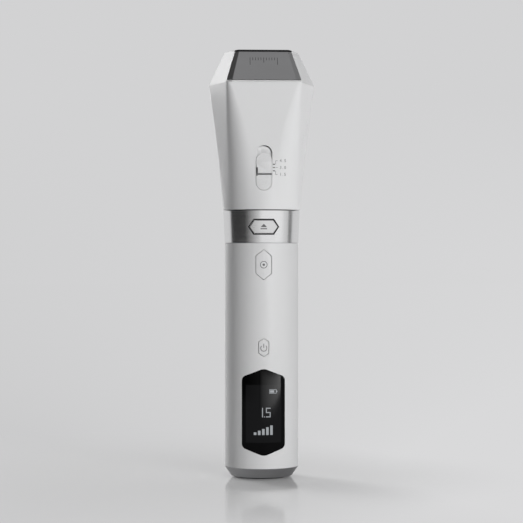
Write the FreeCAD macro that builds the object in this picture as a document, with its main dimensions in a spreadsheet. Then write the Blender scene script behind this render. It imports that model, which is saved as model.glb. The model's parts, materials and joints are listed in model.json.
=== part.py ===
"""Hand-held focused ultrasound wand with a pull-out treatment cartridge.

Millimetres. +Z is up along the handle, the front (display, buttons, slider) faces -Y,
and the origin is the middle of the foot, on the surface that the wand stands on.
"""
import FreeCAD, Part
import math
import os
import Sketcher
from FreeCAD import Placement, Rotation, Vector

SIZES = {
    # Foot and handle tube
    "foot_rise": 0.3,
    "foot_height": 5.2,
    "foot_bottom_radius": 14.2,
    "foot_edge": 0.6,
    "pad_radius": 11.8,
    "pad_thickness": 1.0,
    "base_floor": 2.0,
    "spigot_height": 4.0,
    "spigot_wall": 1.6,
    "handle_radius": 17.3,
    "shell_wall": 1.8,
    "handle_top": 110.0,
    "fit_gap": 0.15,
    "tool_reach": 60.0,
    # Display
    "lens_half_width": 10.0,
    "lens_low": 11.1,
    "lens_high": 51.8,
    "lens_point": 3.9,
    "lens_corner": 1.6,
    "lens_sink": 0.06,
    "lens_gap": 0.06,
    "view_half_width": 8.4,
    "view_low": 17.0,
    "view_high": 44.0,
    "panel_half_width": 9.5,
    "panel_front": 11.6,
    "panel_thickness": 1.8,
    "panel_margin": 3.0,
    # Buttons of the handle
    "trigger_half_width": 3.8,
    "trigger_low": 92.8,
    "trigger_high": 107.2,
    "trigger_point": 3.1,
    "power_half_width": 2.5,
    "power_low": 57.3,
    "power_high": 65.9,
    "power_point": 1.5,
    "button_gap": 0.22,
    "button_lip": 0.8,
    "button_lip_thickness": 1.0,
    "stem_radius": 1.3,
    "stem_end": 12.2,
    "switch_half": 3.0,
    "switch_front": 11.3,
    "plunger_radius": 1.5,
    "plunger_end": 10.4,
    "switch_bore_depth": 1.5,
    # Boards, chassis and battery
    "board_half_width": 11.5,
    "board_front": 7.8,
    "board_thickness": 1.2,
    "board_low": 14.0,
    "board_high": 103.5,
    "post_height": 1.2,
    "chassis_half_width": 10.5,
    "chassis_thickness": 1.4,
    "chassis_high": 105.0,
    "shelf_half_width": 9.4,
    "shelf_back": 2.6,
    "top_shelf_thickness": 1.5,
    "saddle_half_width": 6.0,
    "saddle_back": 11.5,
    "socket_thread_low": 106.0,
    "chip_height": 0.9,
    "post_radius": 1.9,
    "screw_radius": 0.8,
    "screw_head_radius": 1.7,
    "screw_head": 0.9,
    "board_screw_x": 9.2,
    "board_screw_low": 18.0,
    "board_screw_high": 88.0,
    "base_screw_x": 7.0,
    "shelf_thickness": 3.0,
    "cell_radius": 9.2,
    "cell_length": 65.0,
    "cell_low": 20.6,
    "cell_back": 5.6,
    "saddle_thickness": 1.4,
    "nub_height": 0.8,
    "driver_front": 4.0,
    "driver_half_width": 9.5,
    "driver_low": 88.8,
    "driver_high": 102.6,
    "driver_screw_x": 7.4,
    "driver_screw_length": 4.2,
    "coil_ring_radius": 3.6,
    "coil_wire_radius": 2.0,
    "buzzer_radius": 4.5,
    "buzzer_height": 3.0,
    "buzzer_z": 79.0,
    "charge_board_low": 12.0,
    "charge_board_half": 7.5,
    "charge_board_thickness": 1.0,
    "charge_board_front": 3.0,
    "charge_board_back": 12.8,
    "tongue_half_width": 3.3,
    "tongue_half_height": 0.35,
    "tongue_back": 1.0,
    "port_half_width": 4.47,
    "port_half_height": 1.63,
    "port_wall": 0.3,
    "port_mouth": 16.9,
    "port_depth": 7.3,
    "port_gap": 0.2,
    # Collar, cartridge socket and release button
    "collar_low": 110.2,
    "collar_high": 125.2,
    "collar_low_radius": 17.4,
    "collar_high_radius": 18.05,
    "collar_bore": 16.2,
    "collar_edge": 0.25,
    "socket_radius": 16.1,
    "socket_flange": 16.8,
    "socket_plug_low": 108.5,
    "socket_floor_low": 109.6,
    "socket_floor_high": 112.2,
    "socket_high": 125.2,
    "socket_bore": 10.15,
    "socket_rim": 1.7,
    "release_z": 117.6,
    "release_half_width": 7.1,
    "release_half_height": 3.55,
    "release_flat": 4.7,
    "release_gap": 0.55,
    "release_lip": 1.0,
    "release_face": 17.75,
    "release_crown": 28.0,
    "release_lip_front": 13.9,
    "release_lip_back": 12.9,
    "release_pocket": 11.7,
    "release_spring_x": 5.6,
    "release_spring_z": 115.2,
    "release_spring_radius": 0.95,
    "release_spring_wire": 0.2,
    "release_spring_pitch": 0.85,
    "release_spring_end": 9.6,
    "release_slack": 0.3,
    "prong_x": 6.0,
    "prong_width": 1.4,
    "prong_half_height": 0.5,
    "prong_tip": 11.9,
    "clip_z": 119.9,
    "clip_wire": 0.5,
    "clip_leg_x": 9.75,
    "clip_leg_end": 5.5,
    "clip_bend": 7.4,
    "clip_tip_bend": 6.0,
    "clip_groove": 14.2,
    "groove_half": 0.7,
    "contact_half_width": 6.0,
    "contact_half_depth": 2.4,
    "contact_top": 112.6,
    "contact_foot_low": 107.0,
    "contact_foot_edge": 1.4,
    "contact_pitch": 1.8,
    "pin_radius": 0.45,
    "pad_top": 113.4,
    "pad_height": 0.2,
    "socket_screw_x": 8.2,
    # Cartridge body, round below and six-sided above
    "plug_radius": 10.0,
    "plug_groove_radius": 9.2,
    "plug_hollow": 7.4,
    "plug_floor": 1.4,
    "cartridge_base_radius": 15.9,
    "cartridge_base": 1.9,
    "seal_z": 123.2,
    "seal_ring_radius": 9.42,
    "seal_wire": 0.66,
    "seal_groove": 8.7,
    "seal_groove_half": 0.8,
    "head_low": 125.45,
    "head_low_radius": 18.1,
    "head_middle": 155.0,
    "middle_half_width": 20.95,
    "middle_half_depth": 19.8,
    "middle_front_radius": 11.0,
    "middle_side_radius": 9.0,
    "head_high": 185.2,
    "top_front_radius": 3.4,
    "top_side_radius": 1.4,
    "head_wall": 2.0,
    "ridge_half_width": 24.9,
    "ridge_corner_x": 17.3,
    "ridge_corner_y": 20.3,
    "ridge_front_x": 15.0,
    "ridge_front_y": 22.5,
    # Nose and treatment window
    "total_height": 200.0,
    "rim_height": 0.85,
    "crest_half_width": 17.83,
    "crest_corner_x": 12.96,
    "crest_corner_y": 13.0,
    "crest_front_x": 11.32,
    "crest_front_y": 14.56,
    "nose_wall": 1.8,
    "nose_roof": 1.5,
    "rim_inset": 0.35,
    "rim_width": 2.6,
    "rim_corner": 1.2,
    "window_ledge": 1.3,
    "film_thickness": 0.5,
    "film_gap": 0.1,
    # Depth slider
    "slot_half_width": 3.8,
    "slot_low": 134.4,
    "slot_high": 155.3,
    "knob_gap": 0.15,
    "knob_high": 151.85,
    "knob_low_front": 18.45,
    "knob_high_front": 19.45,
    "rib_top": 147.2,
    "rib_step": 142.3,
    "rib_foot": 141.9,
    "rib_edge": 0.2,
    "rib_rise": 1.2,
    "skirt_half_width": 5.0,
    "skirt_low": 131.0,
    "skirt_high": 158.6,
    "skirt_low_front": 15.3,
    "skirt_high_front": 17.2,
    "skirt_thickness": 1.0,
    "stem_half_width": 2.4,
    # Scanning stage
    "guide_x": 10.8,
    "guide_radius": 1.5,
    "guide_high": 151.0,
    "frame_half_width": 15.2,
    "frame_half_depth": 5.5,
    "frame_low": 141.8,
    "frame_plate": 2.5,
    "cheek_thickness": 1.6,
    "cheek_high": 172.4,
    "running_gap": 0.1,
    "rail_radius": 1.0,
    "rail_y": 4.0,
    "rail_z": 170.0,
    "screw_z": 158.0,
    "lead_radius": 1.2,
    "motor_radius": 4.0,
    "motor_front": 4.9,
    "nut_low_x": 2.5,
    "nut_high_x": 5.9,
    "nut_half": 2.6,
    "nut_top": 160.8,
    "arm_half_depth": 2.0,
    "carriage_half_width": 6.0,
    "carriage_half_depth": 6.2,
    "carriage_low": 167.0,
    "carriage_high": 173.2,
    "cup_radius": 9.2,
    "cup_high": 188.3,
    "bowl_radius": 8.0,
    "focus_z": 201.5,
    "focal_length": 15.0,
    "bowl_thickness": 1.5,
}

doc = FreeCAD.newDocument("ultrasound_wand")
dim = doc.addObject("Spreadsheet::Sheet", "dim")
parts = []


def fill_sheet():
    """Write every driving size to the sheet, one aliased cell each."""
    for row, (alias, value) in enumerate(SIZES.items(), 1):
        dim.set(f"A{row}", alias)
        dim.set(f"B{row}", str(value))
        dim.setAlias(f"B{row}", alias)
    doc.recompute()


def number(text):
    """Value of an expression on the sheet's cells."""
    return float(dim.evalExpression(text))


def part(label, shape_object):
    """Name a finished piece; its label becomes the name of its file."""
    shape_object.Label = label
    parts.append(shape_object)
    return shape_object


def box(name, x_span, y_span, z_span):
    """Block between two expressions along each axis."""
    block = doc.addObject("Part::Box", name)
    spans = zip(("Length", "Width", "Height"), "xyz", (x_span, y_span, z_span))
    for size, axis, (low, high) in spans:
        block.setExpression(size, f"({high}) - ({low})")
        block.setExpression(f"Placement.Base.{axis}", low)
    return block


def both_ways(half):
    """Span from minus a half size to plus it."""
    return (f"-({half})", half)


TURNS = {
    "x": Rotation(Vector(0, 1, 0), 90),
    "y": Rotation(Vector(1, 0, 0), -90),
    "z": Rotation(),
}


def rod(name, radius, axis, span, across):
    """Cylinder along one axis; across gives its place on the two other axes, in order."""
    bar = doc.addObject("Part::Cylinder", name)
    bar.setExpression("Radius", radius)
    bar.setExpression("Height", f"({span[1]}) - ({span[0]})")
    bar.Placement = Placement(Vector(), TURNS[axis])
    bar.setExpression(f"Placement.Base.{axis}", span[0])
    others = [name for name in "xyz" if name != axis]
    for other, place in zip(others, across):
        bar.setExpression(f"Placement.Base.{other}", place)
    return bar


def fuse(name, *pieces):
    """One solid from pieces that touch or overlap."""
    union = doc.addObject("Part::MultiFuse", name)
    union.Shapes = list(pieces)
    return union


def cut(name, base, *tools):
    """A base with tools taken out of it."""
    result = doc.addObject("Part::Cut", name)
    result.Base = base
    result.Tool = tools[0] if len(tools) == 1 else fuse(f"{name}_tools", *tools)
    return result


def common(name, first, second):
    """What two solids share."""
    result = doc.addObject("Part::Common", name)
    result.Base = first
    result.Tool = second
    return result


def group(name, pieces):
    """Separate equal solids that share one name."""
    compound = doc.addObject("Part::Compound", name)
    compound.Links = pieces
    return compound


def outline(body, name, plane, corners, offset="0"):
    """Closed polygon sketch on an origin plane of the body; corners are pairs of expressions."""
    sketch = body.newObject("Sketcher::SketchObject", name)
    support = [feature for feature in body.Origin.OriginFeatures if feature.Role == plane][0]
    sketch.AttachmentSupport = (support, [""])
    sketch.MapMode = "FlatFace"
    sketch.setExpression("AttachmentOffset.Base.z", offset)
    points = [Vector(number(across), number(up), 0) for across, up in corners]
    count = len(points)
    for index in range(count):
        sketch.addGeometry(Part.LineSegment(points[index], points[(index + 1) % count]))
    for index in range(count):
        sketch.addConstraint(Sketcher.Constraint("Coincident", index, 2, (index + 1) % count, 1))
    for index, (across, up) in enumerate(corners):
        for kind, text in (("DistanceX", across), ("DistanceY", up)):
            place = sketch.addConstraint(Sketcher.Constraint(kind, -1, 1, index, 1, number(text)))
            sketch.setExpression(f"Constraints[{place}]", text)
    return sketch


def turned(name, corners, angle=360, reverse=False):
    """Body turned about the handle's axis from a profile of radius and height pairs."""
    body = doc.addObject("PartDesign::Body", name)
    sketch = outline(body, f"{name}_profile", "XZ_Plane", corners)
    turn = body.newObject("PartDesign::Revolution", f"{name}_turn")
    turn.Profile = sketch
    turn.ReferenceAxis = (sketch, ["V_Axis"])
    turn.Angle = angle
    turn.Reversed = reverse
    return body


def padded(name, plane, corners, low, high):
    """Body padded from a polygon between two expressions along the plane's normal."""
    body = doc.addObject("PartDesign::Body", name)
    sketch = outline(body, f"{name}_outline", plane, corners, low)
    pad = body.newObject("PartDesign::Pad", f"{name}_pad")
    pad.Profile = sketch
    pad.setExpression("Length", f"({high}) - ({low})")
    return body


def lofted(name, sections):
    """Ruled body through polygons at given heights."""
    body = doc.addObject("PartDesign::Body", name)
    add_loft(body, name, "PartDesign::AdditiveLoft", sections)
    return body


def add_loft(body, name, kind, sections):
    """Add or take away a ruled loft through polygons at given heights."""
    sketches = []
    for index, (corners, height) in enumerate(sections):
        sketches.append(outline(body, f"{name}_section{index}", "XY_Plane", corners, height))
    loft = body.newObject(kind, f"{name}_loft")
    loft.Profile = sketches[0]
    loft.Sections = sketches[1:]
    loft.Ruled = True


def pocket_forward(body, name, corners):
    """Cut a polygon seen from the front right through the wall on the -Y side."""
    sketch = outline(body, f"{name}_outline", "XZ_Plane", corners)
    pocket = body.newObject("PartDesign::Pocket", f"{name}_pocket")
    pocket.Profile = sketch
    pocket.Type = "ThroughAll"
    pocket.Reversed = True
    return pocket


def soften(body, base, radius, keep):
    """Round those edges of a feature that a test of the edge picks."""
    doc.recompute()
    edges = [f"Edge{index}" for index, edge in enumerate(base.Shape.Edges, 1) if keep(edge)]
    fillet = body.newObject("PartDesign::Fillet", f"{body.Name}_round")
    fillet.Base = (base, edges)
    fillet.setExpression("Radius", radius)


def runs_along(axis, low=-math.inf, high=math.inf):
    """Test for straight edges along an axis whose middle height lies between two numbers."""
    def keep(edge):
        if not isinstance(edge.Curve, Part.Line):
            return False
        middle = edge.CenterOfMass.z
        return abs(edge.Curve.Direction.dot(axis)) > 0.999 and low < middle < high
    return keep


def upright_hexagon(half_width, low, high, point, grow="0"):
    """Hexagon with points above and below, grown on every side."""
    wide = f"({half_width}) + ({grow})"
    top = f"({high}) + ({grow})"
    bottom = f"({low}) - ({grow})"
    shoulder = f"({high}) - ({point}) + ({grow}) / 2"
    hip = f"({low}) + ({point}) - ({grow}) / 2"
    return [("0", top), (wide, shoulder), (wide, hip), ("0", bottom), (f"-({wide})", hip),
            (f"-({wide})", shoulder)]


def level_hexagon(half_width, half_height, flat, height, grow="0"):
    """Hexagon with points left and right, grown on every side."""
    wide = f"({half_width}) + ({grow})"
    edge = f"({flat}) + ({grow}) / 2"
    top = f"({height}) + ({half_height}) + ({grow})"
    bottom = f"({height}) - ({half_height}) - ({grow})"
    return [(wide, height), (edge, top), (f"-({edge})", top), (f"-({wide})", height), (f"-({edge})", bottom),
            (edge, bottom)]


def tube_slice(name, prism, outer, inner):
    """Part of a prism between two radii about the handle's axis."""
    drum = rod(f"{name}_outer", outer, "z", WHOLE_HEIGHT, ("0", "0"))
    core = rod(f"{name}_inner", inner, "z", WHOLE_HEIGHT, ("0", "0"))
    return cut(f"{name}_slice", common(f"{name}_inside", prism, drum), core)


def stadium(name, half_width, low, high, y_span):
    """Long rounded prism seen from the front, from a block and two cylinders along Y."""
    block = box(f"{name}_block", both_ways(half_width), y_span,
                (f"({low}) + ({half_width})", f"({high}) - ({half_width})"))
    bottom = rod(f"{name}_bottom", half_width, "y", y_span, ("0", f"({low}) + ({half_width})"))
    top = rod(f"{name}_top", half_width, "y", y_span, ("0", f"({high}) - ({half_width})"))
    return fuse(name, block, bottom, top)


def pan_screw(name, axis, face, tip, across, heads_low=True):
    """Screw whose head stands on a face and whose shank runs to a tip."""
    if heads_low:
        head_span = (f"({face}) - dim.screw_head", face)
        shank_span = (face, tip)
    else:
        head_span = (face, f"({face}) + dim.screw_head")
        shank_span = (tip, face)
    head = rod(f"{name}_head", "dim.screw_head_radius", axis, head_span, across)
    shank = rod(f"{name}_shank", "dim.screw_radius", axis, shank_span, across)
    return fuse(name, head, shank)


INNER = "(dim.handle_radius - dim.shell_wall)"
BOARD_BACK = "(dim.board_thickness - dim.board_front)"
CHASSIS_FRONT = f"({BOARD_BACK} + dim.post_height)"
CHASSIS_BACK = f"({CHASSIS_FRONT} + dim.chassis_thickness)"
BASE_TOP = "(dim.pad_thickness + dim.base_floor)"
SHELF_TOP = f"({BASE_TOP} + dim.shelf_thickness)"
PORT_LEVEL = "(dim.charge_board_low + dim.charge_board_thickness + dim.port_half_height)"
DRIVER_LEVEL = "(dim.driver_low + dim.driver_high) / 2"
CELL_HIGH = "(dim.cell_low + dim.cell_length)"
WHOLE_HEIGHT = ("0", "dim.total_height")
FORWARD = ("-dim.tool_reach", "0")
BACKWARD = ("0", "dim.tool_reach")


def make_base():
    """Rubber foot pad, dark foot with its spigot inside the handle, and the screws above the pad."""
    pad = rod("foot_pad", "dim.pad_radius", "z", ("0", "dim.pad_thickness"), ("0", "0"))
    part("foot_pad", pad)
    spigot = f"({INNER} - dim.fit_gap)"
    spigot_top = "dim.foot_height + dim.spigot_height"
    spigot_bore = f"({spigot} - dim.spigot_wall)"
    recess = "(dim.pad_radius + dim.fit_gap)"
    body = turned("base_cap_body", [
        ("0", "dim.pad_thickness"), (recess, "dim.pad_thickness"), (recess, "dim.foot_rise"),
        ("dim.foot_bottom_radius - dim.foot_edge", "dim.foot_rise"),
        ("dim.foot_bottom_radius", "dim.foot_rise + dim.foot_edge"),
        ("dim.handle_radius", "dim.foot_height - dim.collar_edge"), ("dim.handle_radius", "dim.foot_height"),
        (spigot, "dim.foot_height"), (spigot, spigot_top), (spigot_bore, spigot_top),
        (spigot_bore, BASE_TOP), ("0", BASE_TOP)])
    holes = []
    screws = []
    for side in (-1, 1):
        across = (f"{side} * dim.base_screw_x", "0")
        head_top = "dim.pad_thickness + dim.screw_head"
        holes.append(rod("base_hole", "dim.screw_radius + dim.fit_gap", "z", ("0", BASE_TOP), across))
        holes.append(rod("base_sink", "dim.screw_head_radius + dim.fit_gap", "z", ("0", head_top), across))
        screws.append(pan_screw("base_screw", "z", head_top, SHELF_TOP, across))
    part("base_cap", cut("base_cap", body, *holes))
    part("base_screws", group("base_screws", screws))


def half_shell(name, reverse):
    """Half of the handle tube, parted at the sides."""
    corners = [(INNER, "dim.foot_height"), ("dim.handle_radius", "dim.foot_height"),
               ("dim.handle_radius", "dim.handle_top"), (INNER, "dim.handle_top")]
    return turned(name, corners, 180, reverse)


def make_handle_shells():
    """Front shell with the display and button openings, rear shell with the charging port's opening."""
    front = half_shell("front_shell", True)
    pocket_forward(front, "trigger_opening",
                   upright_hexagon("dim.trigger_half_width", "dim.trigger_low", "dim.trigger_high",
                                   "dim.trigger_point"))
    pocket_forward(front, "power_opening",
                   upright_hexagon("dim.power_half_width", "dim.power_low", "dim.power_high",
                                   "dim.power_point"))
    window = pocket_forward(front, "lens_opening",
                            upright_hexagon("dim.lens_half_width", "dim.lens_low", "dim.lens_high",
                                            "dim.lens_point", "dim.lens_gap"))
    low = number("dim.lens_low") - 1
    high = number("dim.lens_high") + 1
    soften(front, window, "dim.lens_corner + dim.lens_gap", runs_along(Vector(0, 1, 0), low, high))
    part("front_shell", front)
    opening = port_outline("port_opening", "-dim.port_gap", BACKWARD)
    part("rear_shell", cut("rear_shell", half_shell("rear_shell_body", False), opening))


def port_outline(name, shrink, y_span):
    """Flat prism with round ends at the charging port, drawn in by an amount on every side."""
    tall = f"(dim.port_half_height - ({shrink}))"
    flat_half = "(dim.port_half_width - dim.port_half_height)"
    flat = box(f"{name}_flat", both_ways(flat_half), y_span,
               (f"{PORT_LEVEL} - {tall}", f"{PORT_LEVEL} + {tall}"))
    ends = [rod(f"{name}_end", tall, "y", y_span, (f"{side} * {flat_half}", PORT_LEVEL)) for side in (-1, 1)]
    return fuse(name, flat, *ends)


def make_display():
    """Curved black glass, the holder behind it and the flat display panel."""
    prism = padded("lens_prism", "XZ_Plane",
                   upright_hexagon("dim.lens_half_width", "dim.lens_low", "dim.lens_high", "dim.lens_point"),
                   *BACKWARD)
    soften(prism, prism.Tip, "dim.lens_corner", runs_along(Vector(0, 1, 0)))
    lens = tube_slice("display_lens", prism, "dim.handle_radius - dim.lens_sink", INNER)
    part("display_lens", lens)
    low = "dim.view_low - dim.panel_margin"
    high = "dim.view_high + dim.panel_margin"
    panel_back = "dim.panel_thickness - dim.panel_front"
    part("display_panel", box("display_panel", both_ways("dim.panel_half_width"),
                              ("-dim.panel_front", panel_back), (low, high)))
    block = box("holder_block", both_ways("dim.panel_half_width"), (f"-{INNER}", "-dim.panel_front"),
                (low, high))
    drum = rod("holder_drum", f"{INNER} - dim.fit_gap", "z", WHOLE_HEIGHT, ("0", "0"))
    opening = box("holder_opening", both_ways("dim.view_half_width"), FORWARD,
                  ("dim.view_low", "dim.view_high"))
    part("display_frame", cut("display_frame", common("holder_curve", block, drum), opening))


def make_key(name, half_width, low, high, point):
    """Hexagonal key flush with the handle, its switch on the main board and the switch's plunger."""
    middle = f"(({low}) + ({high})) / 2"
    cap_outline = upright_hexagon(half_width, low, high, point, "-dim.button_gap")
    lip_outline = upright_hexagon(half_width, low, high, point, "dim.button_lip")
    cap_prism = padded(f"{name}_cap", "XZ_Plane", cap_outline, *BACKWARD)
    lip_prism = padded(f"{name}_lip", "XZ_Plane", lip_outline, *BACKWARD)
    lip_outer = f"{INNER} - dim.fit_gap"
    lip_inner = f"{INNER} - dim.fit_gap - dim.button_lip_thickness"
    cap = tube_slice(f"{name}_cap", cap_prism, "dim.handle_radius", lip_inner)
    lip = tube_slice(f"{name}_lip", lip_prism, lip_outer, lip_inner)
    stem = rod(f"{name}_stem", "dim.stem_radius", "y", (f"-({lip_inner}) - dim.fit_gap", "-dim.stem_end"),
               ("0", middle))
    part(f"{name}_button", fuse(f"{name}_button", cap, lip, stem))
    plunger = rod(f"{name}_plunger", "dim.plunger_radius", "y", ("-dim.stem_end", "-dim.plunger_end"),
                  ("0", middle))
    part(f"{name}_plunger", plunger)
    block = box(f"{name}_switch_block", both_ways("dim.switch_half"),
                ("-dim.switch_front", "-dim.board_front"),
                (f"{middle} - dim.switch_half", f"{middle} + dim.switch_half"))
    bore = rod(f"{name}_switch_bore", "dim.plunger_radius + dim.fit_gap", "y",
               ("-dim.switch_front", "dim.switch_bore_depth - dim.switch_front"), ("0", middle))
    part(f"{name}_switch", cut(f"{name}_switch", block, bore))


# Middle across, middle height and half size of each chip on the main board
CHIPS = (("-5.5", "70", "3.5"), ("4.5", "71", "2.2"), ("-7", "96", "2"), ("6", "54", "2.6"))


def make_boards():
    """Main board with its chips, buzzer and screws."""
    places = [(side, level) for side in (-1, 1) for level in ("low", "high")]
    across = [(f"{side} * dim.board_screw_x", f"dim.board_screw_{level}") for side, level in places]
    holes = [rod("board_hole", "dim.screw_radius + dim.fit_gap", "y", FORWARD, place) for place in across]
    plate = box("board_plate", both_ways("dim.board_half_width"), ("-dim.board_front", BOARD_BACK),
                ("dim.board_low", "dim.board_high"))
    part("main_board", cut("main_board", plate, *holes))
    screws = [pan_screw("board_screw", "y", "-dim.board_front", CHASSIS_BACK, place) for place in across]
    part("board_screws", group("board_screws", screws))
    chips = []
    for x_middle, z_middle, half in CHIPS:
        chips.append(box("chip", (f"{x_middle} - {half}", f"{x_middle} + {half}"),
                         ("-dim.board_front - dim.chip_height", "-dim.board_front"),
                         (f"{z_middle} - {half}", f"{z_middle} + {half}")))
    part("board_chips", group("board_chips", chips))
    buzzer = rod("buzzer", "dim.buzzer_radius", "y",
                 ("-dim.board_front - dim.buzzer_height", "-dim.board_front"), ("0", "dim.buzzer_z"))
    part("buzzer", buzzer)


def make_chassis():
    """Moulded spine that carries the boards, the cell and the cartridge socket."""
    shelf_span = (CHASSIS_FRONT, "dim.shelf_back")
    spine = box("spine", both_ways("dim.chassis_half_width"), (CHASSIS_FRONT, CHASSIS_BACK),
                (BASE_TOP, "dim.chassis_high"))
    shelf = box("base_shelf", both_ways("dim.shelf_half_width"), shelf_span, (BASE_TOP, SHELF_TOP))
    port_shelf = box("port_shelf", both_ways("dim.charge_board_half"), (CHASSIS_FRONT, "dim.charge_board_back"),
                     ("dim.charge_board_low - dim.chassis_thickness", "dim.charge_board_low"))
    saddle_lows = ("dim.cell_low - dim.saddle_thickness", f"{CELL_HIGH} + dim.nub_height")
    saddles = [box("saddle", both_ways("dim.saddle_half_width"), (CHASSIS_FRONT, "dim.saddle_back"),
                   (low, f"{low} + dim.saddle_thickness")) for low in saddle_lows]
    top_shelf = box("top_shelf", both_ways("dim.chassis_half_width"), shelf_span,
                    ("dim.chassis_high - dim.top_shelf_thickness", "dim.chassis_high"))
    solids = [spine, shelf, port_shelf, top_shelf, *saddles]
    holes = []
    for side in (-1, 1):
        for level in ("low", "high"):
            place = (f"{side} * dim.board_screw_x", f"dim.board_screw_{level}")
            solids.append(rod("board_post", "dim.post_radius", "y", (BOARD_BACK, CHASSIS_FRONT), place))
            holes.append(rod("board_thread", "dim.screw_radius", "y", (BOARD_BACK, CHASSIS_BACK), place))
        socket_place = (f"{side} * dim.socket_screw_x", "0")
        solids.append(rod("socket_post", "dim.post_radius", "z", ("dim.chassis_high", "dim.socket_floor_low"),
                          socket_place))
        holes.append(rod("socket_thread", "dim.screw_radius", "z",
                         ("dim.socket_thread_low", "dim.socket_floor_low"), socket_place))
        base_place = (f"{side} * dim.base_screw_x", "0")
        holes.append(rod("base_thread", "dim.screw_radius", "z", (BASE_TOP, SHELF_TOP), base_place))
        driver_place = (f"{side} * dim.driver_screw_x", DRIVER_LEVEL)
        solids.append(rod("driver_post", "dim.post_radius", "y", (CHASSIS_BACK, "dim.driver_front"),
                          driver_place))
        holes.append(rod("driver_thread", "dim.screw_radius", "y", ("0", "dim.driver_front"), driver_place))
    part("chassis", cut("chassis", fuse("chassis_solid", *solids), *holes))


def make_power_train():
    """Cell, driver board with its transformer, and the charging port on its own board."""
    cell_place = ("0", "dim.cell_back")
    can = rod("cell_can", "dim.cell_radius", "z", ("dim.cell_low", CELL_HIGH), cell_place)
    nub = rod("cell_nub", "dim.cell_radius / 3", "z", (CELL_HIGH, f"{CELL_HIGH} + dim.nub_height"), cell_place)
    part("battery_cell", fuse("battery_cell", can, nub))
    back = "dim.driver_front + dim.board_thickness"
    plate = box("driver_plate", both_ways("dim.driver_half_width"), ("dim.driver_front", back),
                ("dim.driver_low", "dim.driver_high"))
    places = [(f"{side} * dim.driver_screw_x", DRIVER_LEVEL) for side in (-1, 1)]
    holes = [rod("driver_hole", "dim.screw_radius + dim.fit_gap", "y", BACKWARD, place) for place in places]
    part("driver_board", cut("driver_board", plate, *holes))
    tip = f"{back} - dim.driver_screw_length"
    screws = [pan_screw("driver_screw", "y", back, tip, place, heads_low=False)
              for place in places]
    part("driver_screws", group("driver_screws", screws))
    coil = doc.addObject("Part::Torus", "driver_transformer")
    coil.setExpression("Radius1", "dim.coil_ring_radius")
    coil.setExpression("Radius2", "dim.coil_wire_radius")
    coil.Placement = Placement(Vector(), TURNS["y"])
    coil.setExpression("Placement.Base.y", f"{back} + dim.coil_wire_radius")
    coil.setExpression("Placement.Base.z", DRIVER_LEVEL)
    part("driver_transformer", coil)
    part("charge_board", box("charge_board", both_ways("dim.charge_board_half"),
                             ("dim.charge_board_front", "dim.charge_board_back"),
                             ("dim.charge_board_low", "dim.charge_board_low + dim.charge_board_thickness")))
    part("usb_port", make_port())


def make_port():
    """Rounded metal socket with a tongue inside, its mouth in the rear shell."""
    back = "(dim.port_mouth - dim.port_depth)"
    floor = f"{back} + dim.tongue_back"
    shell = cut("port_shell", port_outline("port_outer", "0", (back, "dim.port_mouth")),
                port_outline("port_inner", "dim.port_wall", (floor, "dim.tool_reach")))
    tongue = box("port_tongue", both_ways("dim.tongue_half_width"), (floor, "dim.port_mouth - dim.tongue_back"),
                 (f"{PORT_LEVEL} - dim.tongue_half_height", f"{PORT_LEVEL} + dim.tongue_half_height"))
    return fuse("usb_port", shell, tongue)


def make_collar():
    """Metal collar with the release button's opening, and the socket that takes the cartridge's plug."""
    body = turned("collar", [
        ("dim.collar_bore", "dim.collar_low"), ("dim.collar_low_radius - dim.collar_edge", "dim.collar_low"),
        ("dim.collar_low_radius", "dim.collar_low + dim.collar_edge"),
        ("dim.collar_high_radius", "dim.collar_high - dim.collar_edge"),
        ("dim.collar_high_radius - dim.collar_edge", "dim.collar_high"),
        ("dim.collar_bore", "dim.collar_high")])
    pocket_forward(body, "release_opening",
                   level_hexagon("dim.release_half_width", "dim.release_half_height", "dim.release_flat",
                                 "dim.release_z"))
    part("collar", body)
    plug = f"({INNER} - dim.fit_gap)"
    socket = turned("socket_body", [
        ("0", "dim.socket_floor_low"), (f"{plug} - dim.socket_rim", "dim.socket_floor_low"),
        (f"{plug} - dim.socket_rim", "dim.socket_plug_low"), (plug, "dim.socket_plug_low"),
        (plug, "dim.handle_top"),
        ("dim.socket_flange", "dim.handle_top"), ("dim.socket_flange", "dim.collar_low"),
        ("dim.socket_radius", "dim.collar_low"), ("dim.socket_radius", "dim.socket_high"),
        ("dim.socket_bore", "dim.socket_high"), ("dim.socket_bore", "dim.socket_floor_high"),
        ("0", "dim.socket_floor_high")])
    lip_wide = "dim.release_half_width + dim.release_lip + dim.release_slack"
    lip_tall = "dim.release_half_height + dim.release_lip + dim.release_slack"
    tools = [
        box("release_pocket", both_ways(lip_wide), ("-dim.handle_radius", "-dim.release_pocket"),
            (f"dim.release_z - ({lip_tall})", f"dim.release_z + ({lip_tall})")),
        box("contact_opening", both_ways("dim.contact_half_width + dim.fit_gap"),
            both_ways("dim.contact_half_depth + dim.fit_gap"), ("0", "dim.socket_floor_high")),
        rod("clip_groove", "dim.clip_groove", "z",
            ("dim.clip_z - dim.groove_half", "dim.clip_z + dim.groove_half"), ("0", "0"))]
    for side in (-1, 1):
        tools.append(rod("spring_seat", "dim.release_spring_radius + 2 * dim.release_spring_wire", "y",
                         ("-dim.release_pocket", "-dim.release_spring_end"),
                         (f"{side} * dim.release_spring_x", "dim.release_spring_z")))
        tools.append(rod("socket_hole", "dim.screw_radius + dim.fit_gap", "z",
                         ("0", "dim.socket_floor_high"), (f"{side} * dim.socket_screw_x", "0")))
    part("cartridge_socket", cut("cartridge_socket", socket, *tools))
    screws = [pan_screw("socket_screw", "z", "dim.socket_floor_high", "dim.socket_thread_low",
                        (f"{side} * dim.socket_screw_x", "0"), heads_low=False) for side in (-1, 1)]
    part("socket_screws", group("socket_screws", screws))


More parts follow.
